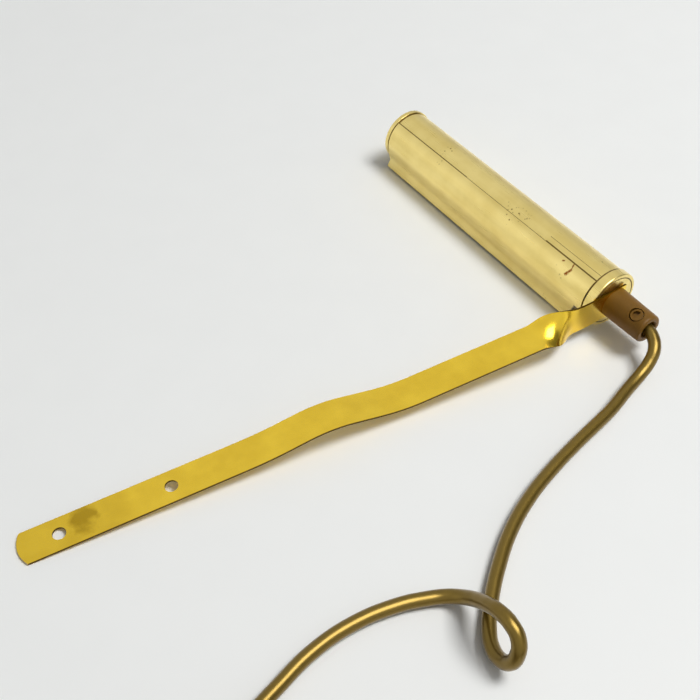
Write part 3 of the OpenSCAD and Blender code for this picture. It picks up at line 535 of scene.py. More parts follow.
class LAMP_OT_strap(bpy.types.Operator):
    """Make the brass strap: a flat strip with its holes and tip, then bent and twisted along its line"""

    bl_idname = "picture_light.strap"
    bl_label = "Make Strap"

    def execute(self, context):
        half = sizes().strap_width / 2
        reach = STRAP_KNEES[-1][0] + STRAP_TAB_PAST
        stations = [k * reach / STRAP_STATIONS - STRAP_TAB_PAST for k in range(STRAP_STATIONS + 1)]
        line = [strap_point(t) for t in stations]
        length = run_length(line)
        strip = begin("strap", bpy.ops.mesh.primitive_plane_add, size=1, location=(length / 2, 0, 0))
        bpy.ops.transform.resize(value=(length, 2 * half, 1), center_override=(length / 2, 0, 0))
        # The tip is a shallow arc, drawn out in narrowing steps
        tip = STRAP_TIP_R * MM
        deep = tip - math.sqrt(tip**2 - half**2)
        pick(strip, "EDGE", lambda p, e: abs(p.y) < 1e-6)
        bpy.ops.mesh.subdivide(number_cuts=9)
        pick(strip, "VERT", lambda p, v: p.x > length - 1e-5)
        bpy.ops.transform.translate(value=(-deep, 0, 0))
        wide = half
        for k in range(1, TIP_STEPS + 1):
            narrow = half * (math.cos(math.radians(90 * k / TIP_STEPS)) if k < TIP_STEPS else 0.04)
            step = math.sqrt(tip**2 - narrow**2) - math.sqrt(tip**2 - wide**2)
            draw_out((step, 0, 0), (1, narrow / wide, 1), (length, 0, 0))
            wide = narrow
        pick(strip, "EDGE", lambda p, e: e.calc_length() > length / 2)
        bpy.ops.mesh.subdivide(number_cuts=99)
        # Finer where it twists
        low, high = ((STRAP_TAB_PAST + t) * MM for t in (TWIST[0] - 8, sum(TWIST) + 8))
        pick(strip, "EDGE", lambda p, e: low < p.x < high and abs(e.verts[0].co.y - e.verts[1].co.y) < 1e-6)
        bpy.ops.mesh.subdivide(number_cuts=4)
        # Wrung by hand, the strip swells in its twist
        swell = (STRAP_TAB_PAST + SWELL_AT) * MM
        pick(strip, "VERT", lambda p, v: abs(p.x - swell) < 1 * MM and abs(p.y) < 2 * MM)
        bpy.ops.transform.translate(
            value=(0, 0, SWELL_LIFT * MM), use_proportional_edit=True, proportional_edit_falloff="SMOOTH",
            proportional_size=SWELL_REACH * MM,
        )
        modify(strip, "SOLIDIFY", thickness=sizes().strap_gauge, offset=0)
        holes = [(length - inset * MM, SCREW_HOLE_R) for inset in HOLE_INSETS]
        for place, radius in holes + [(STRAP_TAB_PAST * MM, NIPPLE_R)]:
            carve(strip, rod("drill", radius * MM, -5 * MM, 5 * MM, (place, 0, 0), sides=64))
        soften(strip, 0.15)
        strip.data.materials.append(finish_of("strap_brass"))
        # The sides and the holes get painted shade, and the tip's edge keeps the strap's colour
        side_end = length - deep - 1e-5
        stain(strip, "strap_edge_shade", lambda p, f: abs(f.normal.z) < 0.5 and p.x < side_end)
        data = bpy.data.curves.new("strap_line", "CURVE")
        data.dimensions = "3D"
        data.twist_mode = "Z_UP"
        spline = data.splines.new("POLY")
        spline.points.add(len(line) - 1)
        for point, place, t in zip(spline.points, line, stations):
            point.co = (*place, 1)
            point.tilt = -math.pi / 2 * ease((sum(TWIST) - t) / TWIST[1])
        guide = bpy.data.objects.new("strap_line", data)
        context.collection.objects.link(guide)
        modify(strip, "CURVE", object=guide, deform_axis="POS_X")
        bpy.data.objects.remove(guide)
        settle(strip, "strap_brass", "lamp", "mounting_strap", slot="strap_brass", smooth=45)
        return {"FINISHED"}


class LAMP_OT_caps(bpy.types.Operator):
    """Make the two end caps: drawn cups with a rounded edge"""

    bl_idname = "picture_light.caps"
    bl_label = "Make End Caps"

    def execute(self, context):
        edge = CAP_EDGE_R
        inner = CAP_R - CAP_SKIRT_WALL
        # The near cap's face has a groove pressed round it, with painted shade in it
        near = (
            [(NIPPLE_R, 0), (12.9, 0), (13.0, 0.2), (13.4, 0.2), (13.5, 0)]
            + corner(CAP_R - edge, edge, edge, (-90, 0))
            + [(CAP_R, NEAR_SKIRT - 0.1), (CAP_R - 0.1, NEAR_SKIRT), (inner, NEAR_SKIRT)]
            + [(inner, CAP_WALL), (NIPPLE_R, CAP_WALL), (NIPPLE_R, 0)]
        )
        cap = turned("near_cap", near, 128)
        settle(cap, "tube_brass", "tube", "near_end_cap", slot="brass")
        centre = lamp(0, 0, AXIS_H)

        def in_groove(p, face):
            return 12.8 * MM < (p - centre).length < 13.6 * MM and p.y < centre.y + 0.3 * MM

        # Painted shade in the groove round the near cap's face
        stain(cap, "seam_shade", in_groove)
        back = TUBE_L - FAR_RIM
        far = (
            [(inner, back), (CAP_R - 0.1, back), (CAP_R, back + 0.1)]
            + corner(CAP_R - edge, TUBE_L - edge, edge, (0, 90))
            + [(PIVOT_R, TUBE_L), (PIVOT_R, TUBE_L - CAP_WALL), (inner, TUBE_L - CAP_WALL), (inner, back)]
        )
        settle(turned("far_cap", far, 128), "tube_brass", "tube", "far_end_cap", slot="brass")
        return {"FINISHED"}


def sheet_arc(name, radius, low, high):
    """An arc of points round the tube's axis, from one angle to another, at the near cap's face."""
    arc = begin(
        name, bpy.ops.mesh.primitive_circle_add, vertices=360, radius=radius * MM,
        location=lamp(0, 0, AXIS_H), rotation=(math.pi / 2, 0, 0),
    )
    centre = lamp(0, 0, AXIS_H)

    def outside(p, v):
        angle = math.degrees(math.atan2(p.z - centre.z, p.x - centre.x))
        return (angle - low) % 360 > high - low + 0.01

    pick(arc, "VERT", outside)
    bpy.ops.mesh.delete(type="VERT")
    return arc


def outward(piece):
    """Points the faces of an open sheet away from the tube's axis."""
    bpy.ops.mesh.select_all(action="SELECT")
    bpy.ops.mesh.normals_make_consistent(inside=False)
    mesh = bmesh.from_edit_mesh(piece.data)
    centre = lamp(0, 0, AXIS_H)
    facing = sum(
        (f.calc_center_median() - centre).dot(Vector((f.normal.x, 0, f.normal.z))) for f in mesh.faces
    )
    if facing < 0:
        bpy.ops.mesh.flip_normals()


class LAMP_OT_shell(bpy.types.Operator):
    """Make the tube's fixed shell: a rolled sheet, open below"""

    bl_idname = "picture_light.shell"
    bl_label = "Make Shell"

    def execute(self, context):
        shell = sheet_arc("shell", SHELL_R, *SHELL_ARC)
        bpy.ops.mesh.select_all(action="SELECT")
        bpy.ops.transform.translate(value=(0, SEAM_CUTS[0] * MM, 0))
        for a, b in zip(SEAM_CUTS, SEAM_CUTS[1:]):
            draw_out((0, (b - a) * MM, 0))
        outward(shell)
        modify(shell, "SOLIDIFY", thickness=sizes().shell_gauge, offset=-1)
        settle(shell, "tube_brass", "tube", "tube_shell", slot="brass")
        # Painted shade along the seam and by the caps, and a painted reflection of the shutter's edge
        stain(shell, "seam_shade", self.seam_shade_faces)
        return {"FINISHED"}

    def seam_shade_faces(self, p, face):
        """Painted shade lies along the shutter's edge, wider near the strap, and round the shell by each
        cap; near the strap a painted reflection of the shutter's edge runs beside it.
        """
        along = (p.y - NEAR_Y) / MM
        if along < SEAM_CUTS[1] or along > SEAM_CUTS[-2]:
            return False
        if along < SEAM_CUTS[2] or along > SEAM_CUTS[-3]:
            return True
        start = SEAM_STARTS[(along > SEAM_CUTS[3]) + (along > SEAM_CUTS[4])]
        reflected_edge = along < SEAM_CUTS[3] and SEAM_REFLECTION[0] < around(p) < SEAM_REFLECTION[1]
        return reflected_edge or start < around(p) < SEAM_END


class LAMP_OT_shutter(bpy.types.Operator):
    """Make the shutter: an arc with a straight lower part, carried by an ear at each end"""

    bl_idname = "picture_light.shutter"
    bl_label = "Make Shutter"

    def execute(self, context):
        gauge = sizes().shutter_gauge
        radius = SHELL_R + 0.2 + gauge / MM
        start, end = SHUTTER_Y[0] + EAR_WALL, TUBE_L - FAR_RIM - 0.85
        sheet = sheet_arc("shutter_sheet", radius, *SHUTTER_ARC)
        foot, slope = math.radians(SHUTTER_ARC[1]), math.radians(SHUTTER_SLOPE)
        low = lamp(radius * math.cos(foot), 0, AXIS_H + radius * math.sin(foot))
        down = Vector((math.sin(slope), 0, -math.cos(slope)))
        rows = len(FAR_CUTS)
        row = SHUTTER_DROP / rows
        pick(sheet, "VERT", lambda p, v: (p - low).length < 0.05 * MM)
        for k in range(rows):
            step = down * row * MM
            if k == rows - 1:
                step.rotate(Matrix.Rotation(math.radians(FOOT_TURN), 3, "Y"))
            bpy.ops.mesh.extrude_vertices_move(TRANSFORM_OT_translate={"value": step})
        bpy.ops.mesh.select_all(action="SELECT")
        bpy.ops.transform.translate(value=(0, start * MM, 0))
        draw_out((0, (end - start) * MM, 0))
        far = lamp(0, end, 0).y
        # The far end is shallower, and its lower corner is cut back
        for k, cut in enumerate(FAR_CUTS, 1):
            level = low.z + (down * (row * k) * MM).z
            pick(sheet, "VERT", lambda p, v: abs(p.y - far) < 1e-5 and abs(p.z - level) < 0.2 * MM)
            bpy.ops.transform.translate(value=down * (-FAR_RISE * k / rows) * MM - Vector((0, cut * MM, 0)))
        outward(sheet)
        modify(sheet, "SOLIDIFY", thickness=gauge, offset=-1)
        # The near lower corner is cut away where the straight part passes the strap
        middle = lamp(-14, 6.2, 5.7)
        relief = block("relief", middle, (9, 8.4, 12))
        pick(relief, "VERT", lambda p, v: p.y > middle.y and p.z < middle.z)
        bpy.ops.transform.translate(value=(0, 4 * MM, 0))
        only(relief)
        carve(sheet, relief)
        soften(sheet, 0.1)
        near_ear = self.ear("near_ear", SHUTTER_Y[0] + 0.65, NIPPLE_R)
        far_ear = self.ear("far_ear", SHUTTER_Y[1] - 0.9, PIVOT_R)
        join(sheet, near_ear, far_ear)
        sheet.name = sheet.data.name = "shutter_piece"
        settle(sheet, "tube_brass", "shutter", "shutter", slot="brass")
        # Painted shade along the shutter's upper edge, where it stands over the shell
        stain(sheet, "seam_shade", lambda p, f: around(p) < SHUTTER_ARC[0] + 0.4)
        return {"FINISHED"}

    def ear(self, name, place, hole):
        """A hub round the axis with an arm out to the sheet."""
        end = place + EAR_WALL
        hub = turned(name, [(hole, place), (EAR_R, place), (EAR_R, end), (hole, end), (hole, place)], 72)
        arm = block(name + "_arm", lamp(-10.4, (place + end) / 2, AXIS_H + 0.6), (8.6, EAR_WALL, 4.4))
        bpy.ops.mesh.bevel(offset=0.1 * MM, segments=2)
        only(arm)
        return join(hub, arm)


class LAMP_OT_grip(bpy.types.Operator):
    """Make the cord grip and its clamp screw"""

    bl_idname = "picture_light.grip"
    bl_label = "Make Cord Grip"

    def execute(self, context):
        lead = sizes().lead_width / 2 / MM
        seat = GRIP_Y - GRIP_SEAT
        profile = (
            [(NIPPLE_R, GRIP_Y), (GRIP_BACK_R - 0.2, GRIP_Y), (GRIP_BACK_R, GRIP_Y - 0.3)]
            + [(GRIP_MOUTH_R + 0.05, MOUTH_Y + 1.4)]
            + corner(GRIP_MOUTH_R - GRIP_LIP_R, MOUTH_Y + GRIP_LIP_R, GRIP_LIP_R, (0, -90))
            + [(lead + 2, MOUTH_Y), (lead + 1.5, MOUTH_Y + 0.5), (lead + 1.5, MOUTH_Y + 4.5)]
            + [(lead + 0.3, MOUTH_Y + 4.7), (lead + 0.3, seat), (NIPPLE_R, seat), (NIPPLE_R, GRIP_Y)]
        )
        grip = turned("grip", profile, 96)
        place = lamp(0, MOUTH_Y + CLAMP_PLACE, AXIS_H)
        lean = Matrix.Translation(place) @ Matrix.Rotation(CLAMP_LEAN, 4, "Y")
        drill = rod("drill", CLAMP_HOLE_R * MM, 0, 12 * MM, sides=64)
        drill.data.transform(lean)
        carve(grip, drill)
        soften(grip, 0.12, 60)
        settle(grip, "grip_plastic", "lamp", "cord_grip", slot="brown_plastic", smooth=40)
        screw = begin(
            "clamp", bpy.ops.mesh.primitive_cylinder_add, vertices=64, radius=CLAMP_R * MM,
            depth=CLAMP_H * MM, location=(0, 0, (CLAMP_TOP - CLAMP_H / 2) * MM),
        )
        pick(screw, "FACE", lambda p, f: p.z > (CLAMP_TOP - 0.1) * MM)
        bpy.ops.mesh.bevel(offset=0.25 * MM, segments=3)
        only(screw)
        # The screw is hollow, with a flat across it for the driver
        hollow = rod("hollow", 2.2 * MM, (CLAMP_TOP - 1.5) * MM, (CLAMP_TOP + 1.5) * MM)
        carve(hollow, block("flat", (0, -2.6 * MM, CLAMP_TOP * MM), (8, 4, 4)))
        carve(screw, hollow)
        screw.data.transform(lean)
        settle(screw, "grip_plastic", "lamp", "clamp_screw", slot="brown_plastic")
        return {"FINISHED"}


def by_switch(d, z):
    """A point of the switch's middle line, by its distance from the centre and its height."""
    return lamp(SWITCH_AT[0] + d * math.cos(SWITCH_TURN), SWITCH_AT[1] + d * math.sin(SWITCH_TURN), z)


def laid(route, lead):
    """The lead's middle line along a route, which is half the lead's width above its underside."""
    return [lamp(x, y, h + lead) for x, y, h in route]


def coil_points():
    """Three turns in, half a turn up, and two and a half turns out."""
    points = []
    outer = COIL_IN_R + 3 * TURN_STEP
    for i in range(COIL_TURNS * TURN_POINTS + 1):
        n = i / TURN_POINTS
        if n <= 3:
            r = outer - TURN_STEP * n
        elif n <= 3.5:
            r = COIL_IN_R - TURN_STEP * (0.25 - abs(n - 3.25))
        else:
            r = COIL_IN_R + TURN_STEP * (n - 3.5)
        a = math.radians(270 + 360 * n)
        height = COIL_H + LAYER_STEP * ease((n - 3) / 0.5)
        points.append(lamp(COIL_CENTRE[0] + r * math.cos(a), COIL_CENTRE[1] + r * math.sin(a), height))
    return points


def lead_curve(name, points):
    """One round lead along smooth handles."""
    data = bpy.data.curves.new(name, "CURVE")
    data.dimensions = "3D"
    data.bevel_depth = sizes().lead_width / 2
    data.bevel_resolution = 6
    data.resolution_u = 8
    data.use_fill_caps = True
    spline = data.splines.new("BEZIER")
    spline.bezier_points.add(len(points) - 1)
    for handle, place in zip(spline.bezier_points, points):
        handle.co = place
        handle.handle_left_type = handle.handle_right_type = "AUTO"
    piece = bpy.data.objects.new(name, data)
    bpy.context.collection.objects.link(piece)
    return piece


def run_length(points):
    """The length of a line through points."""
    return sum((b - a).length for a, b in zip(points, points[1:]))


class LAMP_OT_lead(bpy.types.Operator):
    """Make the lead in its two lengths, with the coil's tie"""

    bl_idname = "picture_light.lead"
    bl_label = "Make Lead"

    def execute(self, context):
        lead = sizes().lead_width / 2 / MM
        half = SWITCH_SIZE[0] / 2
        split = SWITCH_SIZE[2] / 2
        first = (
            [lamp(0, GRIP_Y - 11, AXIS_H), lamp(0, MOUTH_Y + 5, AXIS_H)]
            + [lamp(0, MOUTH_Y + 0.5, AXIS_H - 0.05)] + laid(LEAD_ROUTE, lead)
            + [by_switch(-half - 9, split - 1.8), by_switch(-half, split), by_switch(7 - half, split)]
        )
        second = (
            [by_switch(half - 7, split), by_switch(half, split), by_switch(half + 8, split - 1.4)]
            + laid(TAIL_ROUTE, lead) + coil_points() + laid(END_ROUTE, lead)
            + [lamp(SLEEVE_X - 3, PLUG_AT[1], PLUG_AT[2]), lamp(SLEEVE_X + 2, PLUG_AT[1], PLUG_AT[2])]
        )
        near = lead_curve("lead_to_switch", first)
        settle(near, "lead_sheath", "lamp", "cord_lead", slot="lead_sheath")
        tail = lead_curve("lead_to_plug", second)
        settle(tail, "lead_sheath", "lamp", "cord_tail", "cord_coil", "cord_end", slot="lead_sheath")
        self.tie()
        return {"FINISHED"}

    def tie(self):
        """A band of soft plastic round the turns, with its end lapped over."""
        low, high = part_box("coil_tie")
        middle = ((low.x + high.x) / 2, low.y, (low.z + high.z) / 2)
        band = begin(
            "coil_band", bpy.ops.mesh.primitive_plane_add, size=1, location=middle,
            rotation=(math.pi / 2, 0, 0),
        )
        bpy.ops.transform.resize(value=(high.x - low.x, 1, high.z - low.z), center_override=middle)
        bpy.ops.mesh.bevel(offset=3 * MM, segments=6, affect="VERTICES")
        bpy.ops.mesh.delete(type="ONLY_FACE")
        bpy.ops.mesh.select_all(action="SELECT")
        draw_out((0, high.y - low.y, 0))
        bpy.ops.mesh.normals_make_consistent(inside=False)
        modify(band, "SOLIDIFY", thickness=0.8 * MM, offset=1)
        soften(band, 0.2)
        settle(band, "tie_plastic", "lamp", "coil_tie", slot="tie_plastic")


def on_switch(piece):
    """Turns a piece modelled along X to the switch's place."""
    piece.data.transform(Matrix.Translation(lamp(*SWITCH_AT, 0)) @ Matrix.Rotation(SWITCH_TURN, 4, "Z"))


def stadium(name, length, width, low, high):
    """An upright block with half-round ends, in edit mode."""
    middle = (low + high) / 2
    body = begin(
        name, bpy.ops.mesh.primitive_cube_add, size=1, location=(0, 0, middle),
        scale=(length, width, high - low),
    )
    pick(body, "EDGE", lambda p, e: abs(p.z - middle) < 1e-6)
    bpy.ops.mesh.bevel(offset=width / 2 - 0.05 * MM, segments=20)
    return body


def rod(name, radius, low, high, place=(0, 0, 0), turn=(0, 0, 0), sides=48):
    """A cylinder from one height to another, then turned and placed."""
    piece = begin(
        name, bpy.ops.mesh.primitive_cylinder_add, vertices=sides, radius=radius, depth=high - low,
        location=(0, 0, (low + high) / 2),
    )
    only(piece)
    piece.data.transform(Matrix.Translation(place) @ Euler(turn).to_matrix().to_4x4())
    return piece


class LAMP_OT_switch(bpy.types.Operator):
    """Make the lead switch: two hollow shells and a rocker"""

    bl_idname = "picture_light.switch"
    bl_label = "Make Switch"

    def execute(self, context):
        height = SWITCH_SIZE[2] * MM
        parting = SWITCH_PARTING * MM
        lower = self.shell("switch_lower", 0, height / 2 - parting, -1)
        for x, y in SWITCH_SCREWS:
            carve(lower, rod("drill", 1.5 * MM, -0.01, 0.02, (x * MM, y * MM, 0)))
            carve(lower, rod("drill", 2.95 * MM, -0.01, 2 * MM, (x * MM, y * MM, 0)))
        upper = self.shell("switch_upper", height / 2 + parting, height, 1)
        carve(upper, block("window", (0, 0, height), (19.6, 12.6, SWITCH_SIZE[2])))
        for side in (-1, 1):
            # Cheeks that hold the rocker's pin
            carve(upper, block("cheek", (0, side * 7.1 * MM, 12 * MM), (6, 1.5, 5.4)), "UNION")
        pin = height - ROCKER_PIN_DROP * MM
        carve(upper, rod("drill", ROCKER_PIN_R * MM, -11 * MM, 11 * MM, (0, 0, pin), (math.pi / 2, 0, 0)))
        for piece, node in ((lower, "switch_base"), (upper, "switch_cover")):
            soften(piece, 0.15, 60)
            on_switch(piece)
            settle(piece, "grip_plastic", "lamp", node, slot="brown_plastic")
        rocker = self.rocker(pin)
        on_switch(rocker)
        settle(rocker, "dark_plastic", "rocker", "switch_rocker", slot="dark_plastic")
        return {"FINISHED"}

    def shell(self, name, low, high, outer):
        """A hollow shell with screw posts and half of each lead hole; its outer face has rounded edges."""
        length, width, height = (s * MM for s in SWITCH_SIZE)
        wall = SWITCH_WALL * MM
        body = stadium(name, length, width, low, high)
        pick(body, "FACE", lambda p, f: f.normal.z * outer > 0.9)
        bpy.ops.mesh.bevel(offset=SWITCH_EDGE_R * MM, segments=5)
        inside = (low + wall, high + wall) if outer < 0 else (low - wall, high - wall)
        carve(body, stadium("hollow", length - 2 * wall, width - 2 * wall, *inside))
        post = (low + wall / 2, high) if outer < 0 else (low, high - wall / 2)
        for x, y in SWITCH_SCREWS:
            carve(body, rod("post", 3.2 * MM, *post, (x * MM, y * MM, 0)), "UNION")
        for side in (-1, 1):
            end = (side * (length / 2 + 3 * MM), 0, height / 2)
            carve(body, rod("drill", 3.3 * MM, -10 * MM, 10 * MM, end, (0, math.pi / 2, 0)))
        return body

    def rocker(self, pin):
        """A button hollowed along its top, tipped to one side on a pin at a height."""
        button = block("switch_button", (0, 0, 2 * MM), ROCKER_SIZE)
        pick(button, "EDGE", lambda p, e: abs(p.x) < 1e-6)
        bpy.ops.mesh.subdivide(number_cuts=5)
        for k, drop in enumerate((1.5, 1.1, 0.3)):
            reach = ROCKER_SIZE[0] / 6 * k * MM
            pick(button, "VERT", lambda p, v: abs(abs(p.x) - reach) < 1e-5 and p.z > 3 * MM)
            bpy.ops.transform.translate(value=(0, 0, -drop * MM))
        # A hub for the pin
        pick(button, "FACE", lambda p, f: f.normal.z < -0.9 and abs(p.x) < 2 * MM)
        draw_out((0, 0, -2.3 * MM))
        only(button)
        soften(button, 0.5, segments=3)
        carve(button, rod("drill", ROCKER_PIN_R * MM, -11 * MM, 11 * MM, turn=(math.pi / 2, 0, 0)))
        button.data.transform(Matrix.Translation((0, 0, pin)) @ Matrix.Rotation(ROCKER_REST, 4, "Y"))
        return button


class LAMP_OT_plug(bpy.types.Operator):
    """Make the plug: a flat body, a ribbed sleeve and two pins"""

    bl_idname = "picture_light.plug"
    bl_label = "Make Plug"

    def execute(self, context):
        length = PLUG_SIZE[0] * MM
        back = lamp(*PLUG_AT)
        case = block("plug_case", back + Vector((length / 2, 0, 0)), PLUG_SIZE)
        pick(case, "EDGE", lambda p, e: abs(p.z - back.z) < 1e-6 and p.x < back.x + 1e-5)
        bpy.ops.mesh.bevel(offset=6.8 * MM, segments=6)
        pick(case, "EDGE", lambda p, e: abs(p.z - back.z) < 1e-6 and p.x > back.x + length - 1e-5)
        bpy.ops.mesh.bevel(offset=4 * MM, segments=5)
        pick(case, "FACE", lambda p, f: abs(f.normal.z) > 0.9)
        bpy.ops.mesh.bevel(offset=2.2 * MM, segments=4)
        pick(case, "FACE", lambda p, f: abs(f.normal.z) > 0.999)
        bpy.ops.mesh.inset(thickness=1 * MM)
        bpy.ops.mesh.inset(thickness=0.4 * MM, depth=-0.4 * MM)
        only(case)
        settle(case, "grip_plastic", "lamp", "plug_body", slot="brown_plastic", smooth=40)
        self.relief()
        self.pins(back + Vector((length, 0, 0)))
        return {"FINISHED"}

    def relief(self):
        """A tapered sleeve with ribs, which keeps the lead from a sharp bend."""
        lead = sizes().lead_width / 2
        bore = lead + 0.05 * MM
        start = lamp(SLEEVE_X, PLUG_AT[1], PLUG_AT[2])
        sleeve = begin(
            "plug_relief", bpy.ops.mesh.primitive_circle_add, vertices=64, radius=bore,
            location=start + Vector((3 * MM, 0, 0)), rotation=(0, math.pi / 2, 0),
        )
        radius, place = bore, 3 * MM
        steps = [(bore, 0), (lead + 0.9 * MM, 0)]
        for k in range(SLEEVE_RIBS):
            full = lead + (0.95 + 0.33 * k) * MM
            neck = full - 0.6 * MM
            x = 0.6 * MM + k * RIB_STEP * MM
            steps += [(full, x), (full, x + 1.8 * MM), (neck, x + 2.1 * MM), (neck, x + 2.9 * MM)]
        steps += [(6 * MM, SLEEVE_L * MM), (2 * MM, SLEEVE_L * MM)]
        for r, x in steps:
            about = start + Vector((x, 0, 0))
            draw_out((x - place, 0, 0), (1, r / radius, r / radius), about)
            radius, place = r, x
        bpy.ops.mesh.select_all(action="SELECT")
        bpy.ops.mesh.fill_holes(sides=64)
        bpy.ops.mesh.normals_make_consistent(inside=False)
        settle(sleeve, "grip_plastic", "lamp", "plug_sleeve", slot="brown_plastic", smooth=40)

    def pins(self, face):
        """Two round pins with rounded tips, from the middle of the plug's face."""
        pair = []
        for side in (-1, 1):
            pin = begin(
                "plug_contacts", bpy.ops.mesh.primitive_cylinder_add, vertices=48, radius=PLUG_PIN_R * MM,
                depth=PLUG_PIN_L * MM, rotation=(0, math.pi / 2, 0),
                location=face + Vector((PLUG_PIN_L / 2 * MM, side * PLUG_PINS_APART / 2 * MM, 0)),
            )
            pick(pin, "FACE", lambda p, f: f.normal.x > 0.9)
            bpy.ops.mesh.bevel(offset=1.2 * MM, segments=6)
            only(pin)
            pair.append(pin)
        pins = join(*pair)
        pins.name = pins.data.name = "plug_contacts"
        settle(pins, "inner_brass", "lamp", "plug_pins", slot="brass")


class LAMP_OT_inside(bpy.types.Operator):
    """Give the pieces inside the tube and the switch their materials"""

    bl_idname = "picture_light.inside"
    bl_label = "Finish Inside"

    def execute(self, context):
        finishes = {
            "threaded_nipple": "inner_brass", "fibre_washer": "fibre", "spring_washer": "steel",
            "lock_nut": "steel", "far_pivot": "inner_brass", "holder_body": "porcelain",
            "contact_plate": "porcelain", "screw_shell": "inner_brass", "centre_contact": "inner_brass",
            "terminal_screws": "steel", "live_wire": "brown_wire", "neutral_wire": "blue_wire",
            "bulb_glass": "glass", "bulb_cap": "inner_brass", "bulb_tip": "black_glass",
            "filament": "tungsten", "switch_pin": "steel", "switch_contacts": "inner_brass",
            "switch_screws": "steel",
        }
        for node, finish in finishes.items():
            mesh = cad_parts[node].data
            mesh.materials.clear()
            mesh.materials.append(finish_of(finish))
        return {"FINISHED"}


# Each light's place, size and power, and the rays that don't see it. The key is left out of mirrors, so that
# the brass keeps its even tone; the panel is only in mirrors.
LIGHTS = {
    "key": ((1.1, -0.8, 2.5), (1.0, 1.0), 58, "visible_glossy"),
    "panel": ((0.2, -0.5, 1.25), (0.9, 0.9), 22, "visible_diffuse"),
}
# What metal mirrors: an even room with a pale wall on the strap's side, a dim side and a dark corner in
# front. Each has its direction, the cosines between which it fades in, and its change of strength.
ROOM, ROOM_SIDES = 0.93, (
    ((-0.86, 0.38, 0.34), 0.85, 0.99, 0.3),
    ((0.87, 0.48, 0.1), 0.8, 0.98, -0.15),
    ((0.74, -0.38, 0.56), 0.72, 0.95, -0.72),
)
# What lights the table: more from the front, less from the strap's side, where the tube's shadow lies
SOFT_WAY, SOFT_LOW, SOFT_HIGH = (0.8, -0.6, 0), 0.04, 0.58
ROOM_SEEN, FLOOR_GLOW = 0.9, 0.17
CAMERA_AT, CAMERA_LENS = (-314.1, -224.5, 370.5), 52.95
CAMERA_TURN, CAMERA_TILT, CAMERA_ROLL = 55.08, 47.13, 0.16


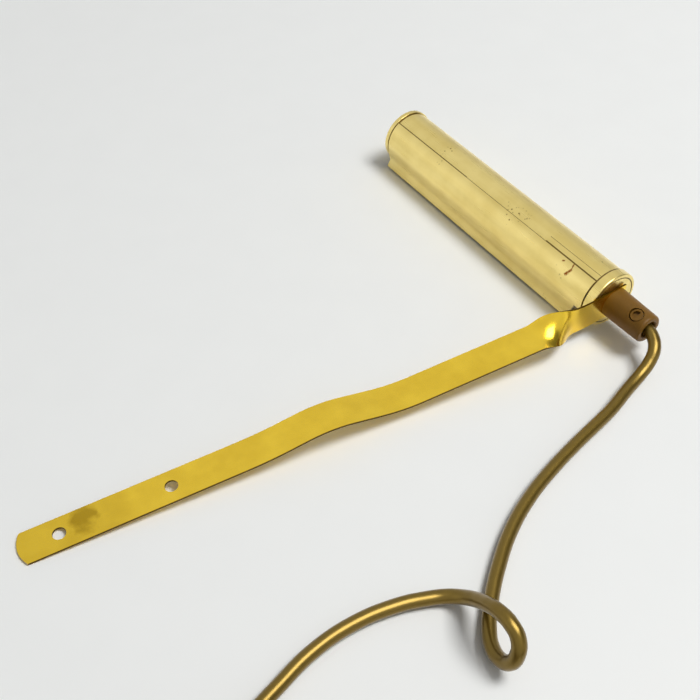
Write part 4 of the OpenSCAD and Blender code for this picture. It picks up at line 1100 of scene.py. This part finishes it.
class LAMP_OT_stage(bpy.types.Operator):
    """Make the table, the soft lights and the camera"""

    bl_idname = "picture_light.stage"
    bl_label = "Make Stage"

    def execute(self, context):
        scene = context.scene
        scene.view_settings.view_transform = "Standard"
        floor = begin("table_top", bpy.ops.mesh.primitive_plane_add, size=6, location=(0, 0, -0.0002))
        bpy.ops.mesh.subdivide(number_cuts=4)
        only(floor)
        finish = plain("white_coated_board", colours().floor, 0.0, 0.6, 40.0, 0.02, 0.015)
        floor.data.materials.append(finish)
        # The brass mirrors a slightly paler board than the one that the camera sees
        tree = finish.node_tree
        shader = tree.nodes["Principled BSDF"]
        mirrored = add(tree, "ShaderNodeLightPath", out="Is Glossy Ray")
        glow = add(tree, "ShaderNodeMath", {0: mirrored, 1: FLOOR_GLOW}, operation="MULTIPLY")
        tree.links.new(glow, shader.inputs["Emission Strength"])
        shader.inputs["Emission Color"].default_value = linear("#FFFFFF")
        self.world(scene)
        for name, settings in LIGHTS.items():
            self.light(name, *settings)
        self.camera(scene)
        return {"FINISHED"}

    def world(self, scene):
        """A soft room, with one strength for mirrors, one for the table and one for the camera."""
        scene.world = bpy.data.worlds.new("soft_room")
        scene.world.use_nodes = True
        tree = scene.world.node_tree
        rays = add(tree, "ShaderNodeLightPath").node.outputs
        way = add(tree, "ShaderNodeTexCoord", out="Generated")
        strength = ROOM
        for side, low, high, change in ROOM_SIDES:
            toward = add(tree, "ShaderNodeVectorMath", {0: way, 1: side}, "Value", operation="DOT_PRODUCT")
            fade = {"Value": toward, "From Min": low, "From Max": high, "To Min": 0, "To Max": change}
            part = add(tree, "ShaderNodeMapRange", fade, interpolation_type="SMOOTHSTEP")
            strength = add(tree, "ShaderNodeMath", {0: part, 1: strength})
        sharp = {0: rays["Is Glossy Ray"], 1: rays["Is Transmission Ray"]}
        mirrored = add(tree, "ShaderNodeMath", sharp, operation="MAXIMUM")
        front = add(tree, "ShaderNodeVectorMath", {0: way, 1: SOFT_WAY}, "Value", operation="DOT_PRODUCT")
        fade = {"Value": front, "From Min": -1, "To Min": SOFT_LOW, "To Max": SOFT_HIGH}
        soft = add(tree, "ShaderNodeMapRange", fade)
        strength = add(tree, "ShaderNodeMix", {0: mirrored, 2: soft, 3: strength})
        strength = add(tree, "ShaderNodeMix", {0: rays["Is Camera Ray"], 2: strength, 3: ROOM_SEEN})
        back = tree.nodes["Background"]
        back.inputs["Color"].default_value = linear("#F4F5F6")
        tree.links.new(strength, back.inputs["Strength"])

    def light(self, name, place, size, power, left_out):
        """An area light that faces the lamp, left out of one kind of ray."""
        data = bpy.data.lights.new(name, "AREA")
        data.shape = "RECTANGLE"
        data.size, data.size_y = size
        data.energy = power
        lamp_object = bpy.data.objects.new(name, data)
        lamp_object.location = place
        lamp_object.rotation_euler = (-Vector(place)).to_track_quat("-Z", "Y").to_euler()
        setattr(lamp_object, left_out, False)
        bpy.context.collection.objects.link(lamp_object)

    def camera(self, scene):
        """The camera stands over the lead, on the strap's side of the near end, and looks down."""
        data = bpy.data.cameras.new("camera")
        data.sensor_width = 36
        data.lens = CAMERA_LENS
        data.clip_start = 0.01
        view = bpy.data.objects.new("camera", data)
        turn = (
            Matrix.Rotation(math.radians(CAMERA_TURN - 90), 4, "Z")
            @ Matrix.Rotation(math.radians(90 - CAMERA_TILT), 4, "X")
            @ Matrix.Rotation(math.radians(CAMERA_ROLL), 4, "Z")
        )
        view.matrix_world = Matrix.Translation(lamp(*CAMERA_AT)) @ turn
        bpy.context.collection.objects.link(view)
        scene.camera = view


class LAMP_PT_panel(bpy.types.Panel):
    """Lists the pieces of the picture light"""

    bl_idname = "LAMP_PT_panel"
    bl_label = "Picture Light"
    bl_space_type = "VIEW_3D"
    bl_region_type = "UI"
    bl_category = "Picture Light"

    def draw(self, context):
        layout = self.layout
        for operator in OPERATORS:
            layout.operator(operator.bl_idname)
        for group in (context.scene.picture_light_sizes, context.scene.picture_light_colours):
            column = layout.column()
            for key in group.__annotations__:
                column.prop(group, key)


OPERATORS = (
    LAMP_OT_stage, LAMP_OT_plug, LAMP_OT_switch, LAMP_OT_lead, LAMP_OT_strap, LAMP_OT_caps, LAMP_OT_shell,
    LAMP_OT_shutter, LAMP_OT_grip, LAMP_OT_inside,
)
CLASSES = (LampSizes, LampColours) + OPERATORS + (LAMP_PT_panel,)


def register():
    """Adds the operators, the panel and what it shows."""
    for item in CLASSES:
        bpy.utils.register_class(item)
    bpy.types.Scene.picture_light_sizes = PointerProperty(type=LampSizes)
    bpy.types.Scene.picture_light_colours = PointerProperty(type=LampColours)


def unregister():
    """Takes them away again."""
    del bpy.types.Scene.picture_light_colours
    del bpy.types.Scene.picture_light_sizes
    for item in reversed(CLASSES):
        bpy.utils.unregister_class(item)


def main():
    """Makes every piece in order."""
    register()
    for operator in OPERATORS:
        group, name = operator.bl_idname.split(".")
        getattr(getattr(bpy.ops, group), name)()


if __name__ == "__main__":
    main()
